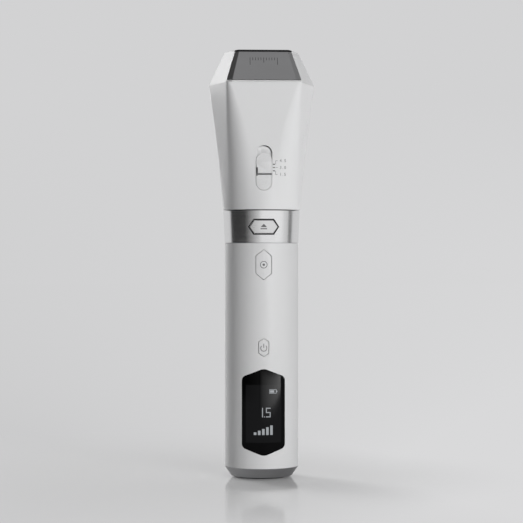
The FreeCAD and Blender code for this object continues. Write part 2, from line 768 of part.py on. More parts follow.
def make_release():
    """Release button with its lip and prongs, its two coil springs and the wire clip that holds the plug."""
    cap_prism = padded("release_cap", "XZ_Plane",
                       level_hexagon("dim.release_half_width", "dim.release_half_height", "dim.release_flat",
                                     "dim.release_z", "-dim.release_gap"),
                       "dim.release_lip_back", "dim.tool_reach")
    crown = rod("release_crown", "dim.release_crown", "z", WHOLE_HEIGHT,
                ("0", "dim.release_crown - dim.release_face"))
    lip = padded("release_lip", "XZ_Plane",
                 level_hexagon("dim.release_half_width", "dim.release_half_height", "dim.release_flat",
                               "dim.release_z", "dim.release_lip"),
                 "dim.release_lip_back", "dim.release_lip_front")
    prongs = []
    springs = []
    for side in (-1, 1):
        middle = f"{side} * (dim.prong_x + dim.prong_width / 2)"
        prongs.append(box("prong", (f"{middle} - dim.prong_width / 2", f"{middle} + dim.prong_width / 2"),
                          ("-dim.release_lip_back", "-dim.prong_tip"),
                          ("dim.clip_z - dim.prong_half_height", "dim.clip_z + dim.prong_half_height")))
        springs.append(coil_spring(side))
    part("release_button", fuse("release_button", common("release_face", cap_prism, crown), lip, *prongs))
    part("release_springs", group("release_springs", springs))
    clip = doc.addObject("Part::Feature", "latch_clip")
    clip.Shape = clip_shape()
    part("latch_clip", clip)


def coil_spring(side):
    """Small coil spring along Y, swept along a helix, between the button's lip and its seat."""
    wire = number("dim.release_spring_wire")
    low = -number("dim.release_lip_back") + wire
    high = -number("dim.release_spring_end") - wire
    helix = doc.addObject("Part::Helix", "spring_line")
    helix.setExpression("Pitch", "dim.release_spring_pitch")
    helix.setExpression("Radius", "dim.release_spring_radius")
    helix.Height = high - low
    start = doc.addObject("Part::Circle", "spring_section")
    start.setExpression("Radius", "dim.release_spring_wire")
    start.Placement = Placement(Vector(number("dim.release_spring_radius"), 0, 0), TURNS["y"])
    sweep = doc.addObject("Part::Sweep", "release_spring")
    sweep.Sections = [start]
    doc.recompute()
    sweep.Spine = (helix, [f"Edge{index}" for index in range(1, len(helix.Shape.Edges) + 1)])
    sweep.Solid = True
    sweep.Frenet = True
    place = Vector(side * number("dim.release_spring_x"), low, number("dim.release_spring_z"))
    sweep.Placement = Placement(place, TURNS["y"])
    return sweep


def clip_shape():
    """Spring wire bent round the plug: two straight legs in its groove, a loop behind, tips bent in."""
    height = number("dim.clip_z")
    leg = number("dim.clip_leg_x")
    end = number("dim.clip_leg_end")
    bend = number("dim.clip_bend")
    tip = number("dim.clip_tip_bend")

    def at(x, y):
        return Vector(x, y, height)

    def tip_point(side, share):
        turn = math.pi / 4 * share
        return at(side * (leg - tip + tip * math.cos(turn)), -end - tip * math.sin(turn))

    def loop_point(side, share):
        turn = math.pi / 2 * share
        return at(side * (leg - bend + bend * math.cos(turn)), end + bend * math.sin(turn))

    edges = [
        Part.Arc(tip_point(1, 1), tip_point(1, 0.5), tip_point(1, 0)).toShape(),
        Part.LineSegment(at(leg, -end), at(leg, end)).toShape(),
        Part.Arc(loop_point(1, 0), loop_point(1, 0.5), loop_point(1, 1)).toShape(),
        Part.LineSegment(loop_point(1, 1), loop_point(-1, 1)).toShape(),
        Part.Arc(loop_point(-1, 1), loop_point(-1, 0.5), loop_point(-1, 0)).toShape(),
        Part.LineSegment(at(-leg, end), at(-leg, -end)).toShape(),
        Part.Arc(tip_point(-1, 0), tip_point(-1, 0.5), tip_point(-1, 1)).toShape()]
    section = Part.Wire(Part.Circle(tip_point(1, 1), Vector(1, 1, 0), number("dim.clip_wire")).toShape())
    return Part.Wire(edges).makePipeShell([section], True, False)


def make_contacts():
    """Contact block in the socket's floor with its pins, and the pads under the plug."""
    tower = box("contact_tower", both_ways("dim.contact_half_width"), both_ways("dim.contact_half_depth"),
                ("dim.contact_foot_low", "dim.contact_top"))
    foot = box("contact_foot", both_ways("dim.contact_half_width"),
               both_ways("dim.contact_half_depth + dim.contact_foot_edge"),
               ("dim.contact_foot_low", "dim.socket_floor_low"))
    part("contact_block", fuse("contact_block", tower, foot))
    places = [f"{step} * dim.contact_pitch" for step in (-2.5, -1.5, -0.5, 0.5, 1.5, 2.5)]
    pins = [rod("contact_pin", "dim.pin_radius", "z", ("dim.contact_top", "dim.pad_top"), (place, "0"))
            for place in places]
    part("contact_pins", group("contact_pins", pins))
    pads = [rod("contact_pad", "dim.pin_radius * 1.6", "z", ("dim.pad_top", "dim.pad_top + dim.pad_height"),
                (place, "0")) for place in places]
    part("contact_pads", group("contact_pads", pads))


def make_plug():
    """Plug of the cartridge with its clip groove and seal groove, the base plate on it, and the seal ring."""
    low = "(dim.pad_top + dim.pad_height)"
    groove_low = "dim.clip_z - dim.groove_half"
    groove_high = "dim.clip_z + dim.groove_half"
    seal_low = "dim.seal_z - dim.seal_groove_half"
    seal_high = "dim.seal_z + dim.seal_groove_half"
    base_top = "dim.head_low + dim.cartridge_base"
    part("cartridge_plug", turned("cartridge_plug", [
        ("0", low), ("dim.plug_radius", low), ("dim.plug_radius", groove_low),
        ("dim.plug_groove_radius", groove_low), ("dim.plug_groove_radius", groove_high),
        ("dim.plug_radius", groove_high), ("dim.plug_radius", seal_low), ("dim.seal_groove", seal_low),
        ("dim.seal_groove", seal_high), ("dim.plug_radius", seal_high), ("dim.plug_radius", "dim.head_low"),
        ("dim.plug_hollow", "dim.head_low"), ("dim.plug_hollow", f"{low} + dim.plug_floor"),
        ("0", f"{low} + dim.plug_floor")]))
    part("cartridge_base", turned("cartridge_base", [
        ("dim.plug_hollow", "dim.head_low"), ("dim.cartridge_base_radius", "dim.head_low"),
        ("dim.cartridge_base_radius", base_top), ("dim.plug_hollow", base_top)]))
    ring = doc.addObject("Part::Torus", "spigot_seal")
    ring.setExpression("Radius1", "dim.seal_ring_radius")
    ring.setExpression("Radius2", "dim.seal_wire")
    ring.setExpression("Placement.Base.z", "dim.seal_z")
    part("spigot_seal", ring)


def section_wire(height, front, corner, facet, side):
    """Closed section, alike on all four quarters.

    front is the middle of the front edge and side the middle of the side edge; corner and facet are
    each the start and middle of an edge, and facet ends with the start of the side edge.
    """
    quarter = [*corner, *facet, side]
    behind = [(x, -y) for x, y in reversed(quarter[:-1])]
    right = quarter + behind
    left = [(-x, y) for x, y in reversed(right)]
    chain = [*right, (front[0], -front[1]), *left, front]
    points = [Vector(x, y, height) for x, y in chain]
    edges = []
    for index in range(0, len(points), 2):
        start, middle, end = points[index], points[index + 1], points[(index + 2) % len(points)]
        bulge = middle.distanceToLine(start, end - start)
        curve = Part.LineSegment(start, end) if bulge < 0.0001 else Part.Arc(start, middle, end)
        edges.append(curve.toShape())
    return Part.Wire(edges)


def round_section(height, radius):
    """Circle cut at the bearings where the six-sided sections change from line to arc."""
    def at(bearing):
        turn = math.radians(bearing)
        return (radius * math.sin(turn), -radius * math.cos(turn))

    corner_start, corner_end, side_start = 20, 58, 78
    return section_wire(height, at(0), (at(corner_start), at((corner_start + corner_end) / 2)),
                        (at(corner_end), at((corner_end + side_start) / 2), at(side_start)), at(90))


def six_sided_section(height, half_width, half_depth, front_radius, side_radius):
    """Flat front and back, four facets that meet at the sides, every corner a tangent arc."""
    bearing = math.atan2(number("dim.ridge_corner_y"), number("dim.ridge_half_width - dim.ridge_corner_x"))
    lean = (math.cos(bearing), math.sin(bearing))
    side_sharp = half_width + side_radius * (1 / lean[1] - 1)
    corner_x = side_sharp - half_depth * lean[0] / lean[1]
    reach = front_radius * math.tan(bearing / 2)
    side_reach = side_radius * lean[0] / lean[1]
    corner_start = (corner_x - reach, -half_depth)
    corner_middle = (corner_start[0] + front_radius * math.sin(bearing / 2),
                     -half_depth + front_radius * (1 - math.cos(bearing / 2)))
    facet_start = (corner_x + reach * lean[0], -half_depth + reach * lean[1])
    side_start = (side_sharp - side_reach * lean[0], -side_reach * lean[1])
    facet_middle = ((facet_start[0] + side_start[0]) / 2, (facet_start[1] + side_start[1]) / 2)
    return section_wire(height, (0, -half_depth), (corner_start, corner_middle),
                        (facet_start, facet_middle, side_start), (half_width, 0))


def head_solid(inset):
    """Loft from the round collar to the six-sided ridge, drawn in by an inset."""
    sections = [
        round_section(number("dim.head_low"), number("dim.head_low_radius") - inset),
        six_sided_section(number("dim.head_middle"), number("dim.middle_half_width") - inset,
                          number("dim.middle_half_depth") - inset,
                          number("dim.middle_front_radius") - inset, number("dim.middle_side_radius") - inset),
        six_sided_section(number("dim.head_high"), number("dim.ridge_half_width") - inset,
                          number("dim.ridge_front_y") - inset,
                          max(number("dim.top_front_radius") - inset, 0.5),
                          max(number("dim.top_side_radius") - inset, 0.5))]
    return Part.makeLoft(sections, True, False)


def make_cartridge_shell():
    """White flared body of the cartridge with the slider's slot in its front."""
    blank = doc.addObject("Part::Feature", "cartridge_blank")
    blank.Shape = head_solid(0).cut(head_solid(number("dim.head_wall")))
    slot = stadium("slider_slot", "dim.slot_half_width", "dim.slot_low", "dim.slot_high", FORWARD)
    part("cartridge_shell", cut("cartridge_shell", blank, slot))


def mirrored_right(corners):
    """Corners of the right half, front to back, completed with their mirror images on the left."""
    left = [(f"-({across})", up) for across, up in reversed(corners) if across != "0"]
    return corners + left


def nose_corners(level, inset="0", front=True):
    """Six-sided outline of the nose at its ridge or crest; the back keeps its raised, bevelled face."""
    wide = f"dim.{level}_half_width - ({inset})"
    corner = (f"dim.{level}_corner_x - ({inset}) / 2", f"dim.{level}_corner_y - ({inset})")
    right = [(corner[0], f"-({corner[1]})"), (wide, "0"), corner]
    if front:
        right.append((f"dim.{level}_front_x", f"dim.{level}_front_y"))
    return mirrored_right(right)


def make_nose():
    """White nose with its window opening, the metal scale plate, the black rim and the acoustic film."""
    crest = "(dim.total_height - dim.rim_height)"
    body = lofted("nose_frame", [(nose_corners("ridge"), "dim.head_high"), (nose_corners("crest"), crest)])
    add_loft(body, "nose_cavity", "PartDesign::SubtractiveLoft", [
        (nose_corners("ridge", "dim.nose_wall", False), "dim.head_high"),
        (nose_corners("crest", "dim.nose_wall", False), f"{crest} - dim.nose_roof")])
    hole = outline(body, "nose_window", "XY_Plane",
                   nose_corners("crest", "dim.rim_width + dim.window_ledge", False), crest)
    opening = body.newObject("PartDesign::Pocket", "nose_window_pocket")
    opening.Profile = hole
    opening.setExpression("Length", "dim.nose_roof + dim.nose_wall")
    part("nose_frame", body)

    def plate_corners(level):
        front = (f"dim.{level}_front_x", f"-dim.{level}_front_y")
        back = (f"dim.{level}_corner_x", f"-dim.{level}_corner_y")
        return mirrored_right([front, back])

    part("scale_plate", lofted("scale_plate", [(plate_corners("ridge"), "dim.head_high"),
                                               (plate_corners("crest"), crest)]))
    rim_right = [("dim.crest_front_x", "-dim.crest_front_y"), ("dim.crest_corner_x", "-dim.crest_corner_y"),
                 ("dim.crest_half_width - dim.rim_inset", "0"), ("dim.crest_corner_x", "dim.crest_corner_y"),
                 ("dim.crest_front_x", "dim.crest_front_y - dim.rim_inset")]
    rim = padded("window_frame", "XY_Plane", mirrored_right(rim_right), crest, "dim.total_height")
    inner = outline(rim, "rim_opening", "XY_Plane", nose_corners("crest", "dim.rim_width", False),
                    "dim.total_height")
    window = rim.newObject("PartDesign::Pocket", "rim_opening_pocket")
    window.Profile = inner
    window.Type = "ThroughAll"
    soften(rim, window, "dim.rim_corner", runs_along(Vector(0, 0, 1)))
    part("window_frame", rim)
    film = padded("acoustic_window", "XY_Plane", nose_corners("crest", "dim.rim_width + dim.film_gap", False),
                  crest, f"{crest} + dim.film_thickness")
    soften(film, film.Tip, "dim.rim_corner", runs_along(Vector(0, 0, 1)))
    part("acoustic_window", film)


def make_slider():
    """Slider knob with its thumb rib, the skirt behind the slot and the stem to the scanning stage."""
    low = "(dim.slot_low + dim.knob_gap)"
    wide = "(dim.slot_half_width - dim.knob_gap)"
    slope = f"((dim.knob_high_front - dim.knob_low_front) / (dim.knob_high - {low}))"

    def face(height):
        return f"-(dim.knob_low_front + ({height} - {low}) * {slope})"

    back = "dim.skirt_thickness - dim.skirt_low_front"
    rib = f"{face('dim.rib_step')} - dim.rib_rise"
    side_view = [(face(low), low), (back, low), (back, "dim.knob_high"),
                 (face("dim.knob_high"), "dim.knob_high"), (face("dim.rib_top"), "dim.rib_top"),
                 (rib, "dim.rib_step"), (rib, "dim.rib_foot + dim.rib_edge"),
                 (face("dim.rib_foot"), "dim.rib_foot")]
    face_bar = padded("knob_bar", "YZ_Plane", side_view, *both_ways(wide))
    knob = common("knob", face_bar, stadium("knob_outline", wide, low, "dim.knob_high", FORWARD))
    skirt_view = [("-dim.skirt_low_front", "dim.skirt_low"),
                  ("dim.skirt_thickness - dim.skirt_low_front", "dim.skirt_low"),
                  ("dim.skirt_thickness - dim.skirt_high_front", "dim.skirt_high"),
                  ("-dim.skirt_high_front", "dim.skirt_high")]
    skirt = padded("slider_skirt", "YZ_Plane", skirt_view, *both_ways("dim.skirt_half_width"))
    stem = box("slider_stem", both_ways("dim.stem_half_width"),
               ("-dim.skirt_low_front", "-dim.frame_half_depth"),
               ("dim.frame_low", "dim.frame_low + dim.frame_plate"))
    part("depth_slider", fuse("depth_slider", knob, skirt, stem))


def make_stage():
    """Guide posts, the frame that rides up them, its rails, motor and lead screw."""
    frame_top = "(dim.frame_low + dim.frame_plate)"
    cheek_inner = "(dim.frame_half_width - dim.cheek_thickness)"
    posts = [rod("guide_post", "dim.guide_radius", "z", ("dim.head_low + dim.cartridge_base", "dim.guide_high"),
                 (f"{side} * dim.guide_x", "0")) for side in (-1, 1)]
    part("guide_posts", group("guide_posts", posts))
    solids = [box("frame_plate", both_ways("dim.frame_half_width"), both_ways("dim.frame_half_depth"),
                  ("dim.frame_low", frame_top))]
    holes = [rod("lead_bearing", "dim.lead_radius + dim.running_gap", "x", ("0", "dim.tool_reach"),
                 ("0", "dim.screw_z"))]
    rails = []
    for side in (-1, 1):
        cheek_middle = f"{side} * (dim.frame_half_width - dim.cheek_thickness / 2)"
        cheek_span = (f"{cheek_middle} - dim.cheek_thickness / 2", f"{cheek_middle} + dim.cheek_thickness / 2")
        solids.append(box("cheek", cheek_span, both_ways("dim.frame_half_depth"),
                          ("dim.frame_low", "dim.cheek_high")))
        holes.append(rod("guide_bore", "dim.guide_radius + dim.running_gap", "z", WHOLE_HEIGHT,
                         (f"{side} * dim.guide_x", "0")))
        rail_place = (f"{side} * dim.rail_y", "dim.rail_z")
        holes.append(rod("rail_hole", "dim.rail_radius", "x", both_ways("dim.tool_reach"), rail_place))
        rails.append(rod("scan_rail", "dim.rail_radius", "x", both_ways("dim.frame_half_width"), rail_place))
    part("depth_frame", cut("depth_frame", fuse("frame_solid", *solids), *holes))
    part("scan_rods", group("scan_rods", rails))
    part("scan_motor", rod("scan_motor", "dim.motor_radius", "x", (f"-{cheek_inner}", "-dim.motor_front"),
                           ("0", "dim.screw_z")))
    part("lead_screw", rod("lead_screw", "dim.lead_radius", "x",
                           ("dim.running_gap - dim.motor_front", "dim.frame_half_width"), ("0", "dim.screw_z")))


def make_carriage():
    """Scanning carriage with its brass nut, and the transducer bowl in its cup."""
    nut_x = ("dim.nut_low_x", "dim.nut_high_x")
    across = both_ways("dim.tool_reach")
    nut_block = box("nut_block", nut_x, both_ways("dim.nut_half"),
                    ("dim.screw_z - dim.nut_half", "dim.nut_top"))
    nut_bore = rod("nut_bore", "dim.lead_radius + dim.running_gap", "x", across, ("0", "dim.screw_z"))
    part("drive_nut", cut("drive_nut", nut_block, nut_bore))
    block = box("carriage_block", both_ways("dim.carriage_half_width"), both_ways("dim.carriage_half_depth"),
                ("dim.carriage_low", "dim.carriage_high"))
    arm = box("carriage_arm", nut_x, both_ways("dim.arm_half_depth"), ("dim.nut_top", "dim.carriage_low"))
    bores = [rod("rail_bore", "dim.rail_radius + dim.running_gap", "x", across,
                 (f"{side} * dim.rail_y", "dim.rail_z")) for side in (-1, 1)]
    part("scan_carriage", cut("scan_carriage", fuse("carriage_solid", block, arm), *bores))

    def ball(name, radius):
        sphere = doc.addObject("Part::Sphere", name)
        sphere.setExpression("Radius", radius)
        sphere.setExpression("Placement.Base.z", "dim.focus_z")
        return sphere

    back_radius = "dim.focal_length + dim.bowl_thickness"
    can = rod("cup_can", "dim.cup_radius", "z", ("dim.carriage_high", "dim.cup_high"), ("0", "0"))
    part("transducer_cup", cut("transducer_cup", can, ball("cup_seat", back_radius)))
    dish = cut("bowl_dish", ball("bowl_back", back_radius), ball("bowl_front", "dim.focal_length"))
    disc = rod("bowl_disc", "dim.bowl_radius", "z", ("dim.carriage_high", "dim.focus_z"), ("0", "0"))
    part("transducer_bowl", common("transducer_bowl", dish, disc))


def check_and_write():
    """Stop on any failed object or bad solid, then write every piece to its file."""
    doc.recompute()
    failed = [item.Label for item in doc.Objects if "Invalid" in item.State or "Error" in item.State]
    bad = [item.Label for item in parts if item.Shape.isNull() or not item.Shape.isValid()]
    if failed or bad:
        raise RuntimeError(f"failed objects {failed}, bad solids {bad}")
    os.makedirs("parts", exist_ok=True)
    for item in parts:
        item.Shape.exportStep(os.path.join("parts", f"{item.Label}.step"))
        print(f"{item.Label}: {len(item.Shape.Solids)} solid(s), {item.Shape.Volume:.1f} mm3")


fill_sheet()
make_base()
make_handle_shells()
make_display()
make_key("trigger", "dim.trigger_half_width", "dim.trigger_low", "dim.trigger_high", "dim.trigger_point")
make_key("power", "dim.power_half_width", "dim.power_low", "dim.power_high", "dim.power_point")
make_boards()
make_chassis()
make_power_train()
make_collar()
make_release()
make_contacts()
make_plug()
make_cartridge_shell()
make_nose()
make_slider()
make_stage()
make_carriage()
check_and_write()
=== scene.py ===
"""Looks of a focused ultrasound wand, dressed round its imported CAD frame.

Sizes in the classes are millimetres and become metres in the meshes. +Z is up along the handle, and the
front, with the display, the keys and the depth slider, faces -Y.
"""
from __future__ import annotations

import json
import logging
import math
from contextlib import contextmanager
from dataclasses import dataclass
from enum import Enum
from typing import Any, Callable, Iterator, Sequence

import bmesh
import bpy
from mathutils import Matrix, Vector

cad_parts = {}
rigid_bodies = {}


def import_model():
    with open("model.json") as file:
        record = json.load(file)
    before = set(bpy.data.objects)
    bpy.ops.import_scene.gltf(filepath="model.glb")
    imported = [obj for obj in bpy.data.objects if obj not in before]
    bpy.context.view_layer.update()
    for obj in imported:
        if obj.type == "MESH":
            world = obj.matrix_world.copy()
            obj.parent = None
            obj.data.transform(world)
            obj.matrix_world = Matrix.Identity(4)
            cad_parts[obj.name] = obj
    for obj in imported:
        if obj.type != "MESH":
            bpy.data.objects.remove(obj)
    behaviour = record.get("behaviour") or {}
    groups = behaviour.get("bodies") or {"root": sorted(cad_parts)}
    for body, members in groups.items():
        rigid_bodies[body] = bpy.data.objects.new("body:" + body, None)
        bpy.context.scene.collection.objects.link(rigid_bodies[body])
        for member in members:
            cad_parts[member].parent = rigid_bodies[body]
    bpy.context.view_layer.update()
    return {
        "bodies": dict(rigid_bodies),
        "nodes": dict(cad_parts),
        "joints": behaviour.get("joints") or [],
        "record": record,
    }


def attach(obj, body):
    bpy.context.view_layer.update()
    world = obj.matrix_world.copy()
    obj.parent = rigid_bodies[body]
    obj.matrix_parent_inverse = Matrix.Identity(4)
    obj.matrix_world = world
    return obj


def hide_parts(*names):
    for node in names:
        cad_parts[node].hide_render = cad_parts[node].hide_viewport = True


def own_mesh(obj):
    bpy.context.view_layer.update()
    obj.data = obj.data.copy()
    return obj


LOG = logging.getLogger("wand")
MM = 0.001
INK_THICKNESS = 0.03
# Places along Y, in millimetres, where cutting tools and flat signs begin or end.
AHEAD = -30
FAR_AHEAD = -40
SIGN_PLACE = -20
CORE = -5
INSIDE = -8
Colour = tuple[float, float, float]
Flat = tuple[float, float]
Stretch = tuple[float, float, float]
Piece = bpy.types.Object


class Body(Enum):
    """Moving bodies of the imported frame."""

    HANDLE = "handle"
    TRIGGER = "trigger_key"
    POWER = "power_key"
    RELEASE = "release_key"
    CARTRIDGE = "cartridge"
    DEPTH = "depth_stage"


class Cut(Enum):
    """Ways to combine two solids."""

    TAKE_AWAY = "DIFFERENCE"
    KEEP_SHARED = "INTERSECT"
    ADD = "UNION"


class Shows(Enum):
    """What a studio lamp does."""

    LIGHT = "lights only"
    MIRROR = "shows in gloss only"


def arithmetic(operation: str, swapped: bool = False) -> Callable[[Signal, Any], Signal]:
    """Method of a signal that adds one Math node.

    Args:
        operation: what the Math node does.
        swapped: whether the other value comes first, as in a reflected form.

    Returns:
        The method.
    """
    def method(self: Signal, other: Any) -> Signal:
        """Result of the Math node."""
        pair = (other, self) if swapped else (self, other)
        return self.graph.math(operation, *pair)

    return method


class Signal:
    """A value in a shader; arithmetic on it adds Math nodes."""

    def __init__(self, graph: Graph, socket: bpy.types.NodeSocket) -> None:
        """Wrap one output socket of a graph."""
        self.graph = graph
        self.socket = socket

    __add__ = arithmetic("ADD")
    __radd__ = arithmetic("ADD", True)
    __sub__ = arithmetic("SUBTRACT")
    __rsub__ = arithmetic("SUBTRACT", True)
    __mul__ = arithmetic("MULTIPLY")
    __rmul__ = arithmetic("MULTIPLY", True)
    __truediv__ = arithmetic("DIVIDE")
    __rtruediv__ = arithmetic("DIVIDE", True)
    __gt__ = arithmetic("GREATER_THAN")
    __lt__ = arithmetic("LESS_THAN")
    __or__ = arithmetic("MAXIMUM")
    __ror__ = arithmetic("MAXIMUM", True)


class Graph:
    """Node tree of one material or of the world."""

    def __init__(self, tree: bpy.types.NodeTree) -> None:
        """Start from an empty tree."""
        self.tree = tree
        tree.nodes.clear()

    def node(self, kind: str, settings: dict[str, Any] | None = None,
             inputs: dict[Any, Any] | None = None) -> bpy.types.Node:
        """Add one node.

        Args:
            kind: Blender's name of the node type.
            settings: properties that are set first.
            inputs: values or signals for the sockets, by name or number.

        Returns:
            The new node.
        """
        node = self.tree.nodes.new(kind)
        for key, value in (settings or {}).items():
            setattr(node, key, value)
        for key, value in (inputs or {}).items():
            if isinstance(value, Signal):
                self.tree.links.new(value.socket, node.inputs[key])
            else:
                node.inputs[key].default_value = value
        return node

    def out(self, node: bpy.types.Node, output: Any = 0) -> Signal:
        """Signal of one output of a node."""
        return Signal(self, node.outputs[output])

    def math(self, operation: str, first: Any, second: Any = 0.0) -> Signal:
        """Result of one Math node."""
        return self.out(self.node("ShaderNodeMath", {"operation": operation}, {0: first, 1: second}))

    def place(self, kind: str = "Object") -> Signal:
        """Coordinates of the surface, or of the world where the kind is Generated."""
        return self.out(self.node("ShaderNodeTexCoord"), kind)

    def axes(self, kind: str = "Object") -> tuple[Signal, Signal, Signal]:
        """Coordinates as three signals, in metres on a surface."""
        split = self.node("ShaderNodeSeparateXYZ", None, {0: self.place(kind)})
        return self.out(split, 0), self.out(split, 1), self.out(split, 2)

    def scaled(self, factors: Sequence[float]) -> Signal:
        """Object coordinates times a factor along each axis."""
        return self.out(self.node("ShaderNodeVectorMath", {"operation": "MULTIPLY"},
                                  {0: self.place(), 1: tuple(factors)}))

    def noise(self, stretch: Sequence[float], detail: float = 2.0) -> Signal:
        """Noise from 0 to 1 on Object coordinates, with so many features per metre along each axis."""
        return self.out(self.node("ShaderNodeTexNoise", None,
                                  {"Vector": self.scaled(stretch), "Scale": 1.0, "Detail": detail}))

    def mapped(self, value: Signal, source: Flat, target: Flat = (0.0, 1.0), soft: bool = False) -> Signal:
        """Value carried from one range to another and held at its ends.

        Args:
            value: what is carried over.
            source: its range.
            target: the new range.
            soft: whether the ends are eased.

        Returns:
            The new value.
        """
        return self.out(self.node(
            "ShaderNodeMapRange", {"interpolation_type": "SMOOTHSTEP" if soft else "LINEAR"},
            {"Value": value, "From Min": source[0], "From Max": source[1],
             "To Min": target[0], "To Max": target[1]}))

    def blend(self, mask: Signal, first: Any, second: Any) -> Signal:
        """Colour between two colours.

        Args:
            mask: one where the second colour shows.
            first: colour or signal where the mask is zero.
            second: colour or signal where the mask is one.

        Returns:
            The colour.
        """
        pair = [colour if isinstance(colour, Signal) else (*colour, 1.0) for colour in (first, second)]
        node = self.node("ShaderNodeMix", {"data_type": "RGBA"}, {0: mask, 6: pair[0], 7: pair[1]})
        return self.out(node, 2)

    def shades(self, mask: Signal, colour: Colour, low: float, high: float) -> Signal:
        """One colour made darker or lighter by two factors, the second where the mask is one."""
        return self.blend(mask, [part * low for part in colour], [part * high for part in colour])

    def mixed(self, mask: Signal, first: bpy.types.Node, second: bpy.types.Node) -> Signal:
        """Shader between two shaders, the second where the mask is one."""
        inputs = {0: mask, 1: self.out(first), 2: self.out(second)}
        return self.out(self.node("ShaderNodeMixShader", None, inputs))

    def bump(self, height: Signal, distance: float) -> Signal:
        """Normal from a height pattern of a depth in millimetres."""
        return self.out(self.node("ShaderNodeBump", None,
                                  {"Strength": 1.0, "Distance": distance * MM, "Height": height}))

    def surface(self, inputs: dict[str, Any]) -> None:
        """Finish a material with a principled shader.

        Args:
            inputs: values or signals of the shader's sockets.
        """
        shader = self.node("ShaderNodeBsdfPrincipled", None, inputs)
        self.node("ShaderNodeOutputMaterial", None, {"Surface": self.out(shader)})


def material_graph(name: str) -> tuple[bpy.types.Material, Graph]:
    """New material with an empty node tree.

    Args:
        name: name of the material.

    Returns:
        The material and its graph.
    """
    made = bpy.data.materials.new(name)
    made.use_nodes = True
    return made, Graph(made.node_tree)


@dataclass(frozen=True)
class Finish:
    """Base of all finishes: a name, the record's slot and a colour."""

    name: str
    slot: str
    colour: Colour

    def material(self) -> bpy.types.Material:
        """Material of this finish, made once.

        Returns:
            The material.
        """
        known = bpy.data.materials.get(self.name)
        if known:
            return known
        made, graph = material_graph(self.name)
        self.paint(graph)
        return made

    def paint(self, graph: Graph) -> None:
        """Add the nodes of the finish."""
        raise NotImplementedError


@dataclass(frozen=True)
class MouldedPlastic(Finish):
    """Moulded plastic or rubber with a fine eroded grain and a slightly uneven tone."""

    roughness: float = 0.35
    grain: float = 0.45
    depth: float = 0.004
    clear: float = 0.0
    mottle: float = 0.02
    shine: float = 0.5
    clouds: Stretch = (70.0, 70.0, 45.0)
    grain_gloss: float = 0.10
    cloud_gloss: float = 0.06
    coat_gloss: float = 0.12

    def paint(self, graph: Graph) -> None:
        """Fine grain in the normal, slow clouds in colour and gloss.

        Args:
            graph: the empty graph.
        """
        pitch = 1.0 / (self.grain * MM)
        fine = graph.noise((pitch, pitch, pitch), 3.0)
        cloud = graph.noise(self.clouds)
        gloss = self.roughness + (fine - 0.5) * self.grain_gloss + (cloud - 0.5) * self.cloud_gloss
        graph.surface({"Base Color": graph.shades(cloud, self.colour, 1 - self.mottle, 1 + self.mottle),
                       "Roughness": gloss, "Normal": graph.bump(fine, self.depth), "Coat Weight": self.clear,
                       "Coat Roughness": self.coat_gloss, "Specular IOR Level": self.shine})


@dataclass(frozen=True)
class LinedMetal(Finish):
    """Bare metal with fine tool lines; lines gives features per metre along each axis."""

    roughness: float = 0.22
    lines: Stretch = (60.0, 60.0, 9000.0)
    depth: float = 0.0015
    spread: float = 0.3
    clouds: Stretch = (90.0, 90.0, 60.0)
    line_gloss: float = 0.16
    cloud_gloss: float = 0.08
    line_shades: Flat = (0.93, 1.05)

    def paint(self, graph: Graph) -> None:
        """Tool lines in gloss and normal, with a slow change of tone.

        Args:
            graph: the empty graph.
        """
        line = graph.noise(self.lines, 3.0)
        cloud = graph.noise(self.clouds)
        gloss = self.roughness + (line - 0.5) * self.line_gloss + (cloud - 0.5) * self.cloud_gloss
        graph.surface({"Base Color": graph.shades(line, self.colour, *self.line_shades),
                       "Metallic": 1.0, "Roughness": gloss,
                       "Anisotropic": self.spread, "Normal": graph.bump(line, self.depth)})


@dataclass(frozen=True)
class BoardLacquer(Finish):
    """Circuit board with copper traces showing through green lacquer."""

    pitch: float = 1.6
    trace: float = 0.06
    trace_shade: float = 1.8
    trace_height: float = 0.02
    roughness: float = 0.38
    trace_gloss: float = 0.1

    def paint(self, graph: Graph) -> None:
        """Trace-like bricks under a thin gloss.

        Args:
            graph: the empty graph.
        """
        rate = 1 / (self.pitch * MM)
        turned = graph.node("ShaderNodeMapping", None,
                            {"Vector": graph.scaled((rate, 1.0, rate)), "Rotation": (math.pi / 2, 0, 0)})
        traces = graph.node("ShaderNodeTexBrick", None,
                            {"Vector": graph.out(turned), "Scale": 1.0, "Mortar Size": self.trace,
                             "Color1": (0, 0, 0, 1), "Color2": (0, 0, 0, 1), "Mortar": (1, 1, 1, 1)})
        mask = graph.out(traces, "Fac")
        graph.surface({"Base Color": graph.shades(mask, self.colour, 1.0, self.trace_shade),
                       "Roughness": self.roughness - mask * self.trace_gloss,
                       "Normal": graph.bump(mask, self.trace_height)})


@dataclass(frozen=True)
class ClearFilm(Finish):
    """Thin stretched film, nearly clear, with faint pull lines."""

    clearness: float = 0.82
    pull: Stretch = (240.0, 1400.0, 240.0)
    pull_height: float = 0.004
    clouds: Stretch = (110.0, 110.0, 110.0)
    mottle: float = 0.1
    roughness: float = 0.16
    pull_gloss: float = 0.10

    def paint(self, graph: Graph) -> None:
        """Pull lines along the film in tone, gloss and normal.

        Args:
            graph: the empty graph.
        """
        pull = graph.noise(self.pull, 3.0)
        cloud = graph.noise(self.clouds)
        graph.surface({"Base Color": graph.shades(cloud, self.colour, 1 - self.mottle, 1 + self.mottle),
                       "Roughness": self.roughness + pull * self.pull_gloss,
                       "Normal": graph.bump(pull, self.pull_height), "Alpha": 1 - self.clearness})


